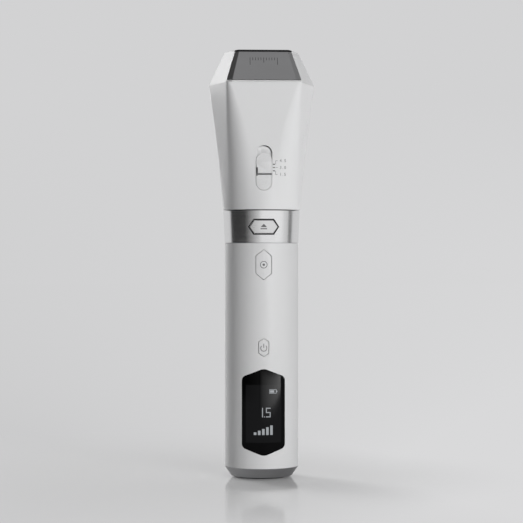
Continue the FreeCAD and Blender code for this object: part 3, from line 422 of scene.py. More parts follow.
@dataclass(frozen=True)
class PrintedInk(Finish):
    """Thin printed ink with a little unevenness."""

    roughness: float = 0.5
    grain: float = 0.2
    mottle: float = 0.15
    grain_gloss: float = 0.2

    def paint(self, graph: Graph) -> None:
        """Uneven ink.

        Args:
            graph: the empty graph.
        """
        pitch = 1.0 / (self.grain * MM)
        grain = graph.noise((pitch, pitch, pitch))
        graph.surface({"Base Color": graph.shades(grain, self.colour, 1 - self.mottle, 1 + self.mottle),
                       "Roughness": self.roughness + (grain - 0.5) * self.grain_gloss})


@dataclass(frozen=True)
class DisplayGlass(Finish):
    """Black curved glass over a dim display with a depth figure, level bars and a battery sign."""

    view_half_width: float = 8.3
    view_low: float = 17.4
    view_high: float = 44.2
    view_tone: Colour = (0.0015, 0.0015, 0.0018)
    view_glow: Colour = (0.0085, 0.0087, 0.0092)
    sign_glow: Colour = (0.60, 0.63, 0.66)
    stroke: float = 0.42
    fine_stroke: float = 0.22
    sign_strength: float = 0.55
    shine: float = 0.08
    smears: Stretch = (160.0, 160.0, 60.0)
    roughness: float = 0.05
    smear_gloss: float = 0.05

    def paint(self, graph: Graph) -> None:
        """Dark glass, a slightly lighter display area and its lit signs.

        Args:
            graph: the empty graph.
        """
        across, deep, up = graph.axes()

        def patch(left: float, right: float, low: float, high: float) -> Signal:
            """Mask of one upright rectangle."""
            wide = (across > left * MM) * (across < right * MM)
            return wide * (up > low * MM) * (up < high * MM)

        front = deep < CORE * MM
        view = patch(-self.view_half_width, self.view_half_width, self.view_low, self.view_high) * front
        lit = patch(*self.signs()[0])
        for sign in self.signs()[1:]:
            lit = lit | patch(*sign)
        smear = graph.noise(self.smears, 3.0)
        dim = graph.blend(view, (0.0, 0.0, 0.0), self.view_glow)
        graph.surface({"Base Color": graph.blend(view, self.colour, self.view_tone),
                       "Roughness": self.roughness + smear * self.smear_gloss,
                       "Specular IOR Level": self.shine,
                       "Emission Color": graph.blend(lit * front, dim, self.sign_glow),
                       "Emission Strength": self.sign_strength})

    def signs(self) -> list[tuple[float, float, float, float]]:
        """Lit figure, bars and battery.

        Returns:
            Left, right, low and high of each upright rectangle.
        """
        stroke, fine = self.stroke, self.fine_stroke
        figure = [(-0.8, -0.8 + stroke, 29.2, 33.6), (0.1, 0.1 + stroke, 29.2, 29.2 + stroke),
                  (1.0, 1.0 + stroke, 31.2, 33.6), (3.2 - stroke, 3.2, 29.2, 31.6)]
        figure += [(1.0, 3.2, level, level + stroke) for level in (29.2, 31.2, 33.2)]
        bars = [(-4.6 + step * 1.9, -3.4 + step * 1.9, 21.0, 22.2 + step * 0.8) for step in range(5)]
        battery = [(2.6, 6.0, level, level + fine) for level in (40.2, 41.9)]
        battery += [(side, side + fine, 40.2, 42.12) for side in (2.6, 5.78)]
        return [*figure, *bars, *battery, (6.0, 6.35, 40.8, 41.5), (2.98, 4.9, 40.6, 41.7)]


WHITE = MouldedPlastic("white_satin_plastic", "white_shell", (0.79, 0.792, 0.795),
                       0.30, 0.5, 0.0035, 0.15, 0.012)
KEY_WHITE = MouldedPlastic("white_key_plastic", "white_key", (0.78, 0.782, 0.785),
                           0.28, 0.4, 0.002, 0.15, 0.012)
FOOT_GREY = MouldedPlastic("foot_grey_plastic", "dark_foot", (0.145, 0.146, 0.149),
                           0.38, 0.5, 0.012, 0.0, 0.12)
RUBBER = MouldedPlastic("foot_rubber", "dark_rubber", (0.035, 0.035, 0.036), 0.75, 0.5, 0.02, 0.0, 0.15)
BLACK = MouldedPlastic("black_moulding", "black_plastic", (0.012, 0.012, 0.013),
                       0.45, 0.4, 0.004, 0.0, 0.15, 0.18)
GREY = MouldedPlastic("grey_filled_plastic", "grey_plastic", (0.30, 0.31, 0.32), 0.5, 0.6, 0.006, 0.0, 0.08)
SLEEVE = MouldedPlastic("cell_sleeve_film", "cell_sleeve", (0.06, 0.22, 0.48), 0.25, 0.9, 0.004, 0.3, 0.06)
FILM = ClearFilm("acoustic_film", "window_film", (0.62, 0.60, 0.50))
BOWL = MouldedPlastic("silvered_ceramic", "bowl_ceramic", (0.62, 0.62, 0.60), 0.3, 0.5, 0.003, 0.2, 0.06)
PANEL = MouldedPlastic("display_panel_film", "display", (0.02, 0.02, 0.024), 0.2, 0.6, 0.001, 0.3, 0.1)
COLLAR_METAL = LinedMetal("turned_collar_metal", "bare_metal", (0.88, 0.88, 0.882), 0.20, (50, 50, 7000))
BUTTON_METAL = LinedMetal("release_button_metal", "bare_metal", (0.84, 0.84, 0.84),
                          0.30, (90, 90, 5000), 0.001)
PLATE_METAL = LinedMetal("brushed_scale_plate", "grey_metal", (0.45, 0.45, 0.455),
                         0.34, (160, 6000, 6000), 0.001)
STEEL = LinedMetal("plain_steel", "steel", (0.58, 0.58, 0.585), 0.28, (700, 700, 700), 0.002, 0.0)
CUP_METAL = LinedMetal("turned_cup_metal", "cup_metal", (0.6, 0.6, 0.61), 0.3, (60, 60, 6000))
GOLD = LinedMetal("gold_flash", "gold_contact", (0.83, 0.62, 0.24), 0.25, (900, 900, 900), 0.001, 0.0)
COPPER = LinedMetal("wound_copper", "copper", (0.70, 0.34, 0.18), 0.3, (900, 900, 900), 0.01, 0.0)
BOARD = BoardLacquer("board_lacquer", "board", (0.015, 0.12, 0.05))
GLASS = DisplayGlass("display_glass", "black_glass", (0.001, 0.001, 0.0012))
GREY_INK = PrintedInk("grey_print", "white_key", (0.16, 0.16, 0.165))
DARK_INK = PrintedInk("dark_print", "white_key", (0.05, 0.05, 0.052))


def arc(middle: Flat, radius: float, start: float, end: float, steps: int) -> list[Flat]:
    """Points along an arc.

    Args:
        middle: its centre.
        radius: its radius.
        start: angle of its first point in radians, from the right, anticlockwise.
        end: angle of its last point.
        steps: number of spans between the points.

    Returns:
        The points.
    """
    turns = [start + (end - start) * step / steps for step in range(steps + 1)]
    return [(middle[0] + radius * math.cos(turn), middle[1] + radius * math.sin(turn)) for turn in turns]


def mirrored(points: Sequence[Flat]) -> list[Flat]:
    """Points of a right half, followed by their mirror images on the left."""
    return [*points, *[(-x, y) for x, y in reversed(points)]]


def standing(points: Sequence[Flat], front: float) -> list[Vector]:
    """Places in metres of x and z pairs, at one place along Y."""
    return [Vector((x, front, z)) * MM for x, z in points]


def lying(points: Sequence[Flat], height: float) -> list[Vector]:
    """Places in metres of x and y pairs, at one height."""
    return [Vector((x, y, height)) * MM for x, y in points]


def upright_hexagon(half_width: float, low: float, high: float, point: float, grow: float) -> list[Flat]:
    """Hexagon with points above and below.

    Args:
        half_width: half its width.
        low: height of its lower point.
        high: height of its upper point.
        point: how tall each pointed end is.
        grow: how far every side is moved outwards.

    Returns:
        Its corners as x and z pairs.
    """
    wide = half_width + grow
    shoulder = high - point + grow / 2
    hip = low + point - grow / 2
    return [(0, high + grow), (wide, shoulder), (wide, hip), (0, low - grow), (-wide, hip), (-wide, shoulder)]


def level_hexagon(half_width: float, half_height: float, flat: float, middle: float,
                  grow: float) -> list[Flat]:
    """Hexagon with points left and right.

    Args:
        half_width: half its width.
        half_height: half its height.
        flat: half the length of its upper and lower edges.
        middle: height of its middle.
        grow: how far every side is moved outwards.

    Returns:
        Its corners as x and z pairs.
    """
    edge = flat + grow / 2
    low, high = middle - half_height - grow, middle + half_height + grow
    wide = half_width + grow
    return [(wide, middle), (edge, high), (-edge, high), (-wide, middle), (-edge, low), (edge, low)]


def stadium(half_width: float, low: float, high: float) -> list[Flat]:
    """Long upright outline with round ends, as x and z pairs."""
    upper = arc((0, high - half_width), half_width, 0, math.pi, 24)
    return [*upper, *arc((0, low + half_width), half_width, math.pi, math.tau, 24)]


class Bench:
    """Modelling steps on one object at a time, as by hand in edit mode."""

    @staticmethod
    def pick(*pieces: Piece) -> None:
        """Select some objects alone and make the first one active.

        Args:
            pieces: the objects; none deselects everything.
        """
        bpy.ops.object.select_all(action="DESELECT")
        for piece in pieces:
            piece.select_set(True)
        if pieces:
            bpy.context.view_layer.objects.active = pieces[0]

    @staticmethod
    @contextmanager
    def editing(piece: Piece) -> Iterator[None]:
        """Edit mode on one object with everything selected.

        Args:
            piece: the object.
        """
        Bench.pick(piece)
        bpy.ops.object.mode_set(mode="EDIT")
        bpy.ops.mesh.select_all(action="SELECT")
        yield
        bpy.ops.object.mode_set(mode="OBJECT")

    @staticmethod
    def named(piece: Piece, name: str) -> Piece:
        """Give an object and its mesh a name."""
        piece.name = piece.data.name = name
        return piece

    @staticmethod
    def ring(name: str, points: Sequence[Vector], filled: bool = True) -> Piece:
        """Closed loop through points, from a circle.

        Args:
            name: name of the object.
            points: places of the vertices in metres.
            filled: whether a face closes the loop.

        Returns:
            The new object.
        """
        Bench.pick()
        bpy.ops.mesh.primitive_circle_add(vertices=len(points), radius=1.0,
                                          fill_type="NGON" if filled else "NOTHING")
        piece = Bench.named(bpy.context.object, name)
        for vertex, place in zip(piece.data.vertices, points):
            vertex.co = place
        return piece

    @staticmethod
    def outwards(piece: Piece) -> Piece:
        """Merge doubles and make every face of a closed shape point outwards.

        Args:
            piece: the object.

        Returns:
            The same object.
        """
        with Bench.editing(piece):
            bpy.ops.mesh.remove_doubles(threshold=1e-7)
            bpy.ops.mesh.dissolve_degenerate(threshold=1e-8)
            bpy.ops.mesh.delete_loose()
            bpy.ops.mesh.select_all(action="SELECT")
            bpy.ops.mesh.normals_make_consistent(inside=False)
        probe = bmesh.new()
        probe.from_mesh(piece.data)
        inside_out = probe.calc_volume(signed=True) < 0
        probe.free()
        if inside_out:
            with Bench.editing(piece):
                bpy.ops.mesh.flip_normals()
        return piece

    @staticmethod
    def extruded(piece: Piece, move: Sequence[float]) -> Piece:
        """Solid from a flat face and a move in millimetres."""
        with Bench.editing(piece):
            bpy.ops.mesh.extrude_region_move(TRANSFORM_OT_translate={"value": tuple(Vector(move) * MM)})
        return Bench.outwards(piece)

    @staticmethod
    def turn(name: str, outline: Sequence[Flat], steps: int = 192, angle: float = math.tau) -> Piece:
        """Solid turned about the handle's axis.

        Args:
            name: name of the object.
            outline: closed profile of radius and height pairs in millimetres.
            steps: segments of the turn.
            angle: how far it turns from the right side, over the front, or over the back if negative.

        Returns:
            The new object.
        """
        piece = Bench.ring(name, standing(outline, 0), angle < math.tau)
        with Bench.editing(piece):
            bpy.ops.mesh.spin(steps=steps, angle=angle, center=(0, 0, 0), axis=(0, 0, 1))
        return Bench.outwards(piece)

    @staticmethod
    def tube(inner: float, outer: float, low: float, high: float, steps: int = 256) -> Piece:
        """Plain tube, or a drum where the inner radius is zero, that shapes another piece."""
        return Bench.turn("tube", [(inner, low), (outer, low), (outer, high), (inner, high)], steps)

    @staticmethod
    def prism(name: str, outline: Sequence[Flat], front: float, back: float) -> Piece:
        """Solid of an outline seen from the front, extruded along Y between two places in millimetres."""
        return Bench.extruded(Bench.ring(name, standing(outline, front)), (0, back - front, 0))

    @staticmethod
    def bar(name: str, outline: Sequence[Flat], half_width: float) -> Piece:
        """Solid of a side view, extruded across the wand; the outline is y and z pairs in millimetres."""
        side = [Vector((-half_width, y, z)) * MM for y, z in outline]
        return Bench.extruded(Bench.ring(name, side), (2 * half_width, 0, 0))

    @staticmethod
    def block(name: str, low: Sequence[float], high: Sequence[float]) -> Piece:
        """Box between two corners in millimetres."""
        outline = [(low[0], low[2]), (high[0], low[2]), (high[0], high[2]), (low[0], high[2])]
        return Bench.prism(name, outline, low[1], high[1])

    @staticmethod
    def stack(name: str, rings: Sequence[Sequence[Vector]], looped: bool) -> Piece:
        """Skin over rings of equal count, from a grid wrapped round.

        Args:
            name: name of the object.
            rings: points of each ring in metres.
            looped: whether the last ring joins the first; otherwise both ends are closed by a face.

        Returns:
            The new object.
        """
        count = len(rings[0])
        rows = [*rings, rings[0]] if looped else list(rings)
        Bench.pick()
        bpy.ops.mesh.primitive_grid_add(x_subdivisions=count, y_subdivisions=len(rows) - 1, size=1.0)
        piece = Bench.named(bpy.context.object, name)
        for index, vertex in enumerate(piece.data.vertices):
            row, column = divmod(index, count + 1)
            vertex.co = rows[row][column % count]
        with Bench.editing(piece):
            bpy.ops.mesh.remove_doubles(threshold=1e-7)
            if not looped:
                bpy.ops.mesh.fill_holes(sides=0)
        return Bench.outwards(piece)

    @staticmethod
    def modify(piece: Piece, kind: str, **settings: Any) -> Piece:
        """Add a modifier and apply it.

        Args:
            piece: the object.
            kind: Blender's name of the modifier type.
            settings: values of the modifier, in the order in which they are set.

        Returns:
            The same object.
        """
        step = piece.modifiers.new(kind.lower(), kind)
        for key, value in settings.items():
            setattr(step, key, value)
        Bench.pick(piece)
        bpy.ops.object.modifier_apply(modifier=step.name)
        return piece

    @staticmethod
    def combine(piece: Piece, tool: Piece, way: Cut) -> Piece:
        """Combine a piece with a tool, which is used up.

        Args:
            piece: the object that stays.
            tool: the other solid.
            way: how they are combined.

        Returns:
            The first object.
        """
        Bench.modify(piece, "BOOLEAN", operation=way.value, solver="EXACT", object=tool)
        bpy.data.objects.remove(tool)
        return piece

    @staticmethod
    def soften(piece: Piece, width: float, segments: int = 3, from_degrees: float = 35.0) -> Piece:
        """Round the sharp edges and shade the rest smooth.

        Args:
            piece: the object.
            width: width of the rounding in millimetres.
            segments: steps of the rounding.
            from_degrees: how sharp an edge has to be.

        Returns:
            The same object.
        """
        Bench.modify(piece, "BEVEL", width=width * MM, segments=segments, limit_method="ANGLE",
                     angle_limit=math.radians(from_degrees))
        Bench.smooth(piece)
        return Bench.modify(piece, "WEIGHTED_NORMAL", keep_sharp=True)

    @staticmethod
    def smooth(piece: Piece, crease: float = 30.0) -> Piece:
        """Shade smooth except across sharp edges.

        Args:
            piece: the object.
            crease: how sharp an edge stays, in degrees.

        Returns:
            The same object.
        """
        Bench.pick(piece)
        bpy.ops.object.shade_smooth_by_angle(angle=math.radians(crease))
        return piece

    @staticmethod
    def round_along(piece: Piece, axis: Vector, width: float, segments: int = 6) -> Piece:
        """Round the edges that run along one axis.

        Args:
            piece: the object.
            axis: direction of the edges.
            width: width of the rounding in millimetres.
            segments: steps of the rounding.

        Returns:
            The same object.
        """
        Bench.pick(piece)
        bpy.ops.object.mode_set(mode="EDIT")
        bpy.ops.mesh.select_mode(type="EDGE")
        bpy.ops.mesh.select_all(action="DESELECT")
        bpy.ops.object.mode_set(mode="OBJECT")
        mesh = piece.data
        for edge in mesh.edges:
            start, end = (mesh.vertices[index].co for index in edge.vertices)
            edge.select = abs((end - start).normalized().dot(axis)) > 0.999
        bpy.ops.object.mode_set(mode="EDIT")
        bpy.ops.mesh.bevel(offset=width * MM, segments=segments, affect="EDGES")
        bpy.ops.mesh.select_mode(type="VERT")
        bpy.ops.object.mode_set(mode="OBJECT")
        return piece

    @staticmethod
    def cad_copy(node: Piece, name: str) -> Piece:
        """New object from a CAD node's mesh, merged and shaded smooth.

        Args:
            node: the CAD node.
            name: name of the new object.

        Returns:
            The new object.
        """
        piece = Bench.named(bpy.data.objects.new(name, node.data.copy()), name)
        bpy.context.scene.collection.objects.link(piece)
        Bench.pick(piece)
        bpy.ops.mesh.customdata_custom_splitnormals_clear()
        with Bench.editing(piece):
            bpy.ops.mesh.remove_doubles(threshold=1e-7)
        return Bench.smooth(piece)

    @staticmethod
    def figure(words: str, height: float, middle: Sequence[float]) -> Piece:
        """Flat widely spaced figure that faces the front, as a mesh.

        Args:
            words: what it says.
            height: height of its digits in millimetres.
            middle: its centre in millimetres.

        Returns:
            The new object.
        """
        Bench.pick()
        bpy.ops.object.text_add(location=Vector(middle) * MM, rotation=(math.pi / 2, 0, 0))
        letters = bpy.context.object.data
        letters.body = words
        letters.space_character = 1.4
        letters.size = height * 1.4 * MM
        letters.align_x = "CENTER"
        letters.align_y = "CENTER"
        letters.resolution_u = 4
        bpy.ops.object.convert(target="MESH")
        bpy.ops.object.transform_apply(location=True, rotation=True, scale=True)
        return bpy.context.object

    @staticmethod
    def join(name: str, pieces: Sequence[Piece]) -> Piece:
        """One object from several.

        Args:
            name: name of the object.
            pieces: the objects, of which the first stays.

        Returns:
            The first object.
        """
        Bench.pick(*pieces)
        bpy.ops.object.join()
        return Bench.named(pieces[0], name)

    @staticmethod
    def print_on(piece: Piece, ground: Piece) -> Piece:
        """Lay a flat sign, which faces the front, on the surface behind it as a thin printed layer.

        Args:
            piece: the sign.
            ground: the piece that carries it.

        Returns:
            The sign.
        """
        with Bench.editing(piece):
            bpy.ops.mesh.quads_convert_to_tris()
            bpy.ops.mesh.subdivide(number_cuts=2)
        Bench.modify(piece, "SHRINKWRAP", wrap_method="PROJECT", use_project_y=True,
                     use_positive_direction=True, use_negative_direction=False, target=ground)
        return Bench.outwards(Bench.modify(piece, "SOLIDIFY", thickness=INK_THICKNESS * MM, offset=0.0))


def strip(left: float, right: float, low: float, high: float, front: float) -> Piece:
    """Flat upright rectangle that faces the front."""
    return Bench.ring("strip", standing([(left, low), (right, low), (right, high), (left, high)], front))


def arc_band(middle: float, radius: float, stroke: float, start: float = 0.0, end: float = 359.9) -> Piece:
    """Flat band along an arc that faces the front, for a sign in the middle of the wand.

    Args:
        middle: height of the arc's centre.
        radius: radius of the band's middle.
        stroke: width of the band.
        start: angle at which it begins, in degrees from the right, anticlockwise.
        end: angle at which it ends.

    Returns:
        The new object.
    """
    edges = [arc((0, middle), radius + side * stroke / 2, math.radians(start), math.radians(end), 40)
             for side in (1, -1)]
    return Bench.ring("band", standing([*edges[0], *reversed(edges[1])], SIGN_PLACE))


def fit(piece: Piece, body: Body, finish: Finish, *nodes: str) -> Piece:
    """Give a piece its finish and its body, and hide the CAD nodes that it stands for.

    Args:
        piece: the finished object.
        body: what it moves with.
        finish: its finish.
        nodes: CAD nodes that it replaces.

    Returns:
        The same object.
    """
    piece.data.materials.clear()
    piece.data.materials.append(finish.material())
    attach(piece, body.value)
    if nodes:
        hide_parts(*nodes)
    size = " x ".join(f"{length / MM:.1f}" for length in piece.dimensions)
    LOG.info("%s on %s, %s mm, %d faces", piece.name, body.value, size, len(piece.data.polygons))
    return piece


@dataclass
class Foot:
    """Dark bevelled foot and the rubber pad under it."""

    radius: float = 17.3
    bottom_radius: float = 14.2
    rise: float = 0.55
    edge: float = 1.1
    fine_edge: float = 0.12
    height: float = 5.2
    band: float = 0.25
    floor: float = 3.0
    spigot: float = 15.35
    spigot_top: float = 9.2
    spigot_wall: float = 1.6
    pad_radius: float = 11.8
    pad_height: float = 1.0
    pad_gap: float = 0.15
    pad_edge: float = 0.3
    groove: float = 0.25
    groove_flank: float = 0.2
    groove_width: float = 1.0
    groove_starts: Flat = (4.0, 8.0)

    def build(self) -> None:
        """Turn the foot and the pad and round their edges."""
        recess = self.pad_radius + self.pad_gap
        bore = self.spigot - self.spigot_wall
        foot = Bench.turn("foot", [
            (0, self.pad_height), (recess, self.pad_height), (recess, self.rise), *self.rounded_edge(),
            (self.radius, self.height - self.band), (self.radius, self.height), (self.spigot, self.height),
            (self.spigot, self.spigot_top), (bore, self.spigot_top), (bore, self.floor), (0, self.floor)])
        fit(Bench.soften(foot, self.fine_edge, 3, 20), Body.HANDLE, FOOT_GREY, "base_cap")
        grooves = []
        for start in self.groove_starts:
            end = start + self.groove_width
            grooves += [(start, 0), (start + self.groove_flank, self.groove),
                        (end - self.groove_flank, self.groove), (end, 0)]
        pad = Bench.turn("foot_pad_ribbed", [
            (0, 0), *grooves, (self.pad_radius - self.pad_edge, 0), (self.pad_radius, self.pad_edge),
            (self.pad_radius, self.pad_height), (0, self.pad_height)], 128)
        fit(Bench.smooth(pad), Body.HANDLE, RUBBER, "foot_pad")

    def rounded_edge(self) -> list[Flat]:
        """Rounded lower edge of the foot.

        Returns:
            Radius and height pairs from its underside to its slope.
        """
        lean = math.atan2(self.height - self.rise, self.radius - self.bottom_radius)
        middle = (self.bottom_radius - self.edge * math.tan(lean / 2), self.rise + self.edge)
        return arc(middle, self.edge, -math.pi / 2, lean - math.pi / 2, 6)


@dataclass
class Key:
    """Hexagonal key, flush with the handle, with its lip and stem behind."""

    name: str
    body: Body
    half_width: float
    low: float
    high: float
    point: float
    gap: float = 0.22
    edge: float = 0.22
    face_radius: float = 17.3
    back_radius: float = 14.35
    lip_radius: float = 15.35
    lip_grow: float = 0.8
    margin: float = 5.0
    stem_radius: float = 1.3
    stem_length: float = 2.3
    stem_place: float = -13.35

    def solid(self, name: str, grow: float = 0.0) -> Piece:
        """The key's outline, grown on every side, as a solid through the front wall."""
        outline = upright_hexagon(self.half_width, self.low, self.high, self.point, grow)
        return Bench.prism(name, outline, AHEAD, CORE)

    def layer(self, name: str, grow: float, radius: float, steps: int) -> Piece:
        """Part of the key's outline that lies in a tube about the handle's axis.

        Args:
            name: name of the object.
            grow: how far the outline is grown.
            radius: outer radius of the tube.
            steps: segments of the tube.

        Returns:
            The new object.
        """
        solid = self.solid(name, grow)
        tube = Bench.tube(self.back_radius, radius, self.low - self.margin, self.high + self.margin, steps)
        return Bench.combine(solid, tube, Cut.KEEP_SHARED)

    def stem(self, height: float) -> Piece:
        """Round stem behind the key.

        Args:
            height: height of its middle.

        Returns:
            The new object.
        """
        Bench.pick()
        bpy.ops.mesh.primitive_cylinder_add(
            vertices=32, radius=self.stem_radius * MM, depth=self.stem_length * MM,
            rotation=(math.pi / 2, 0, 0), location=(0, self.stem_place * MM, height * MM))
        bpy.ops.object.transform_apply(location=True, rotation=True, scale=True)
        return bpy.context.object

    def build(self, signs: Callable[[float], list[Piece]]) -> None:
        """Cut the key from the tube's shape, round it and print its sign.

        Args:
            signs: makes the flat parts of the key's sign at a height in front of it.
        """
        middle = (self.low + self.high) / 2
        key = Bench.soften(self.layer(self.name, -self.gap, self.face_radius, 256), self.edge, 4)
        key = Bench.combine(key, self.layer("lip", self.lip_grow, self.lip_radius, 128), Cut.ADD)
        key = Bench.combine(key, self.stem(middle), Cut.ADD)
        fit(Bench.smooth(key), self.body, KEY_WHITE, f"{self.name}_button")
        sign = Bench.print_on(Bench.join(f"{self.name}_sign", signs(middle)), key)
        fit(sign, self.body, GREY_INK)


@dataclass
class HandleTube:
    """Two white half shells with the windows of the display and the keys, and the charging port behind."""

    radius: float = 17.3
    wall: float = 1.8
    low: float = 5.2
    high: float = 110.0
    edge: float = 0.16
    rows: int = 42
    lens_half_width: float = 10.0
    lens_low: float = 11.1
    lens_high: float = 51.8
    lens_point: float = 3.9
    lens_corner: float = 1.6
    lens_gap: float = 0.06
    lens_edge: float = 0.35
    lens_face: float = 17.24
    lens_reach: Flat = (0.0, 60.0)
    port_z: float = 14.63
    port_half_width: float = 4.47
    port_half_height: float = 1.63
    port_gap: float = 0.2
    port_reach: Flat = (8.0, 30.0)
    port_edge: float = 0.06
    contact_pitch: float = 0.96
    contact_low: tuple[float, float, float] = (-0.18, 12.2, 0.33)
    contact_high: tuple[float, float, float] = (0.18, 15.4, 0.39)
    target_radius: float = 1.55
    target_stroke: float = 0.3
    dot_radius: float = 0.3
    dot_stroke: float = 0.55
    power_radius: float = 1.42
    power_stroke: float = 0.36
    power_drop: float = 0.3
    power_opening: Flat = (134.0, 406.0)
    power_bar: Flat = (-0.1, 1.75)

    def keys(self) -> tuple[Key, Key]:
        """The trigger and the power key."""
        return (Key("trigger", Body.TRIGGER, 3.8, 92.8, 107.2, 3.1),
                Key("power", Body.POWER, 2.5, 57.3, 65.9, 1.5))

    def half(self, name: str, front: bool) -> Piece:
        """One half of the tube.

        Args:
            name: name of the object.
            front: whether it is the front half.

        Returns:
            The new object.
        """
        inner = self.radius - self.wall
        levels = [self.low + (self.high - self.low) * row / self.rows for row in range(self.rows + 1)]
        outline = [(inner, self.low), *[(self.radius, level) for level in levels], (inner, self.high)]
        return Bench.turn(name, outline, 120, math.pi if front else -math.pi)

    def lens(self, name: str, grow: float) -> Piece:
        """Hexagon of the display with rounded corners, as a solid through the front wall.

        Args:
            name: name of the object.
            grow: how far every side is moved outwards.

        Returns:
            The new object.
        """
        outline = upright_hexagon(self.lens_half_width, self.lens_low, self.lens_high, self.lens_point, grow)
        solid = Bench.prism(name, outline, AHEAD, CORE)
        return Bench.round_along(solid, Vector((0, 1, 0)), self.lens_corner + grow, 8)

    def build(self, frame: dict[str, Any]) -> None:
        """Shells, display glass, keys and port.
        """
        front = self.half("handle_front", True)
        trigger, power = self.keys()
        for tool in (trigger.solid("window"), power.solid("window"), self.lens("window", self.lens_gap)):
            front = Bench.combine(front, tool, Cut.TAKE_AWAY)
        fit(Bench.soften(front, self.edge), Body.HANDLE, WHITE, "front_shell")
        rear = self.half("handle_rear", False)
        port = Bench.prism("window", self.port_outline(), *self.port_reach)
        rear = Bench.combine(rear, port, Cut.TAKE_AWAY)
        fit(Bench.soften(rear, self.edge), Body.HANDLE, WHITE, "rear_shell")
        glass = self.lens("display_glass", 0.0)
        tube = Bench.tube(self.radius - self.wall, self.lens_face, *self.lens_reach)
        glass = Bench.combine(glass, tube, Cut.KEEP_SHARED)
        fit(Bench.soften(glass, self.lens_edge, 4), Body.HANDLE, GLASS, "display_lens")
        trigger.build(self.trigger_sign)
        power.build(self.power_sign)
        socket = Bench.cad_copy(frame["nodes"]["usb_port"], "charging_port")
        fit(Bench.soften(socket, self.port_edge, 2), Body.HANDLE, STEEL, "usb_port")
        places = [Vector((self.contact_pitch * (index - 2.5), 0, self.port_z)) for index in range(6)]
        pads = [Bench.block("pad", place + Vector(self.contact_low), place + Vector(self.contact_high))
                for place in places]
        fit(Bench.join("port_contacts", pads), Body.HANDLE, GOLD)

    def port_outline(self) -> list[Flat]:
        """Outline of the charging port's window, with round ends.

        Returns:
            The outline as x and z pairs.
        """
        tall = self.port_half_height + self.port_gap
        flat = self.port_half_width - self.port_half_height
        right = arc((flat, self.port_z), tall, -math.pi / 2, math.pi / 2, 16)
        return [*right, *arc((-flat, self.port_z), tall, math.pi / 2, math.pi * 1.5, 16)]

    def trigger_sign(self, middle: float) -> list[Piece]:
        """Target sign: a dot in a ring."""
        return [arc_band(middle, self.target_radius, self.target_stroke),
                arc_band(middle, self.dot_radius, self.dot_stroke)]

    def power_sign(self, middle: float) -> list[Piece]:
        """Usual power sign: an open ring and a bar."""
        low, high = (middle + end for end in self.power_bar)
        return [arc_band(middle - self.power_drop, self.power_radius, self.power_stroke, *self.power_opening),
                strip(-self.power_stroke / 2, self.power_stroke / 2, low, high, SIGN_PLACE)]


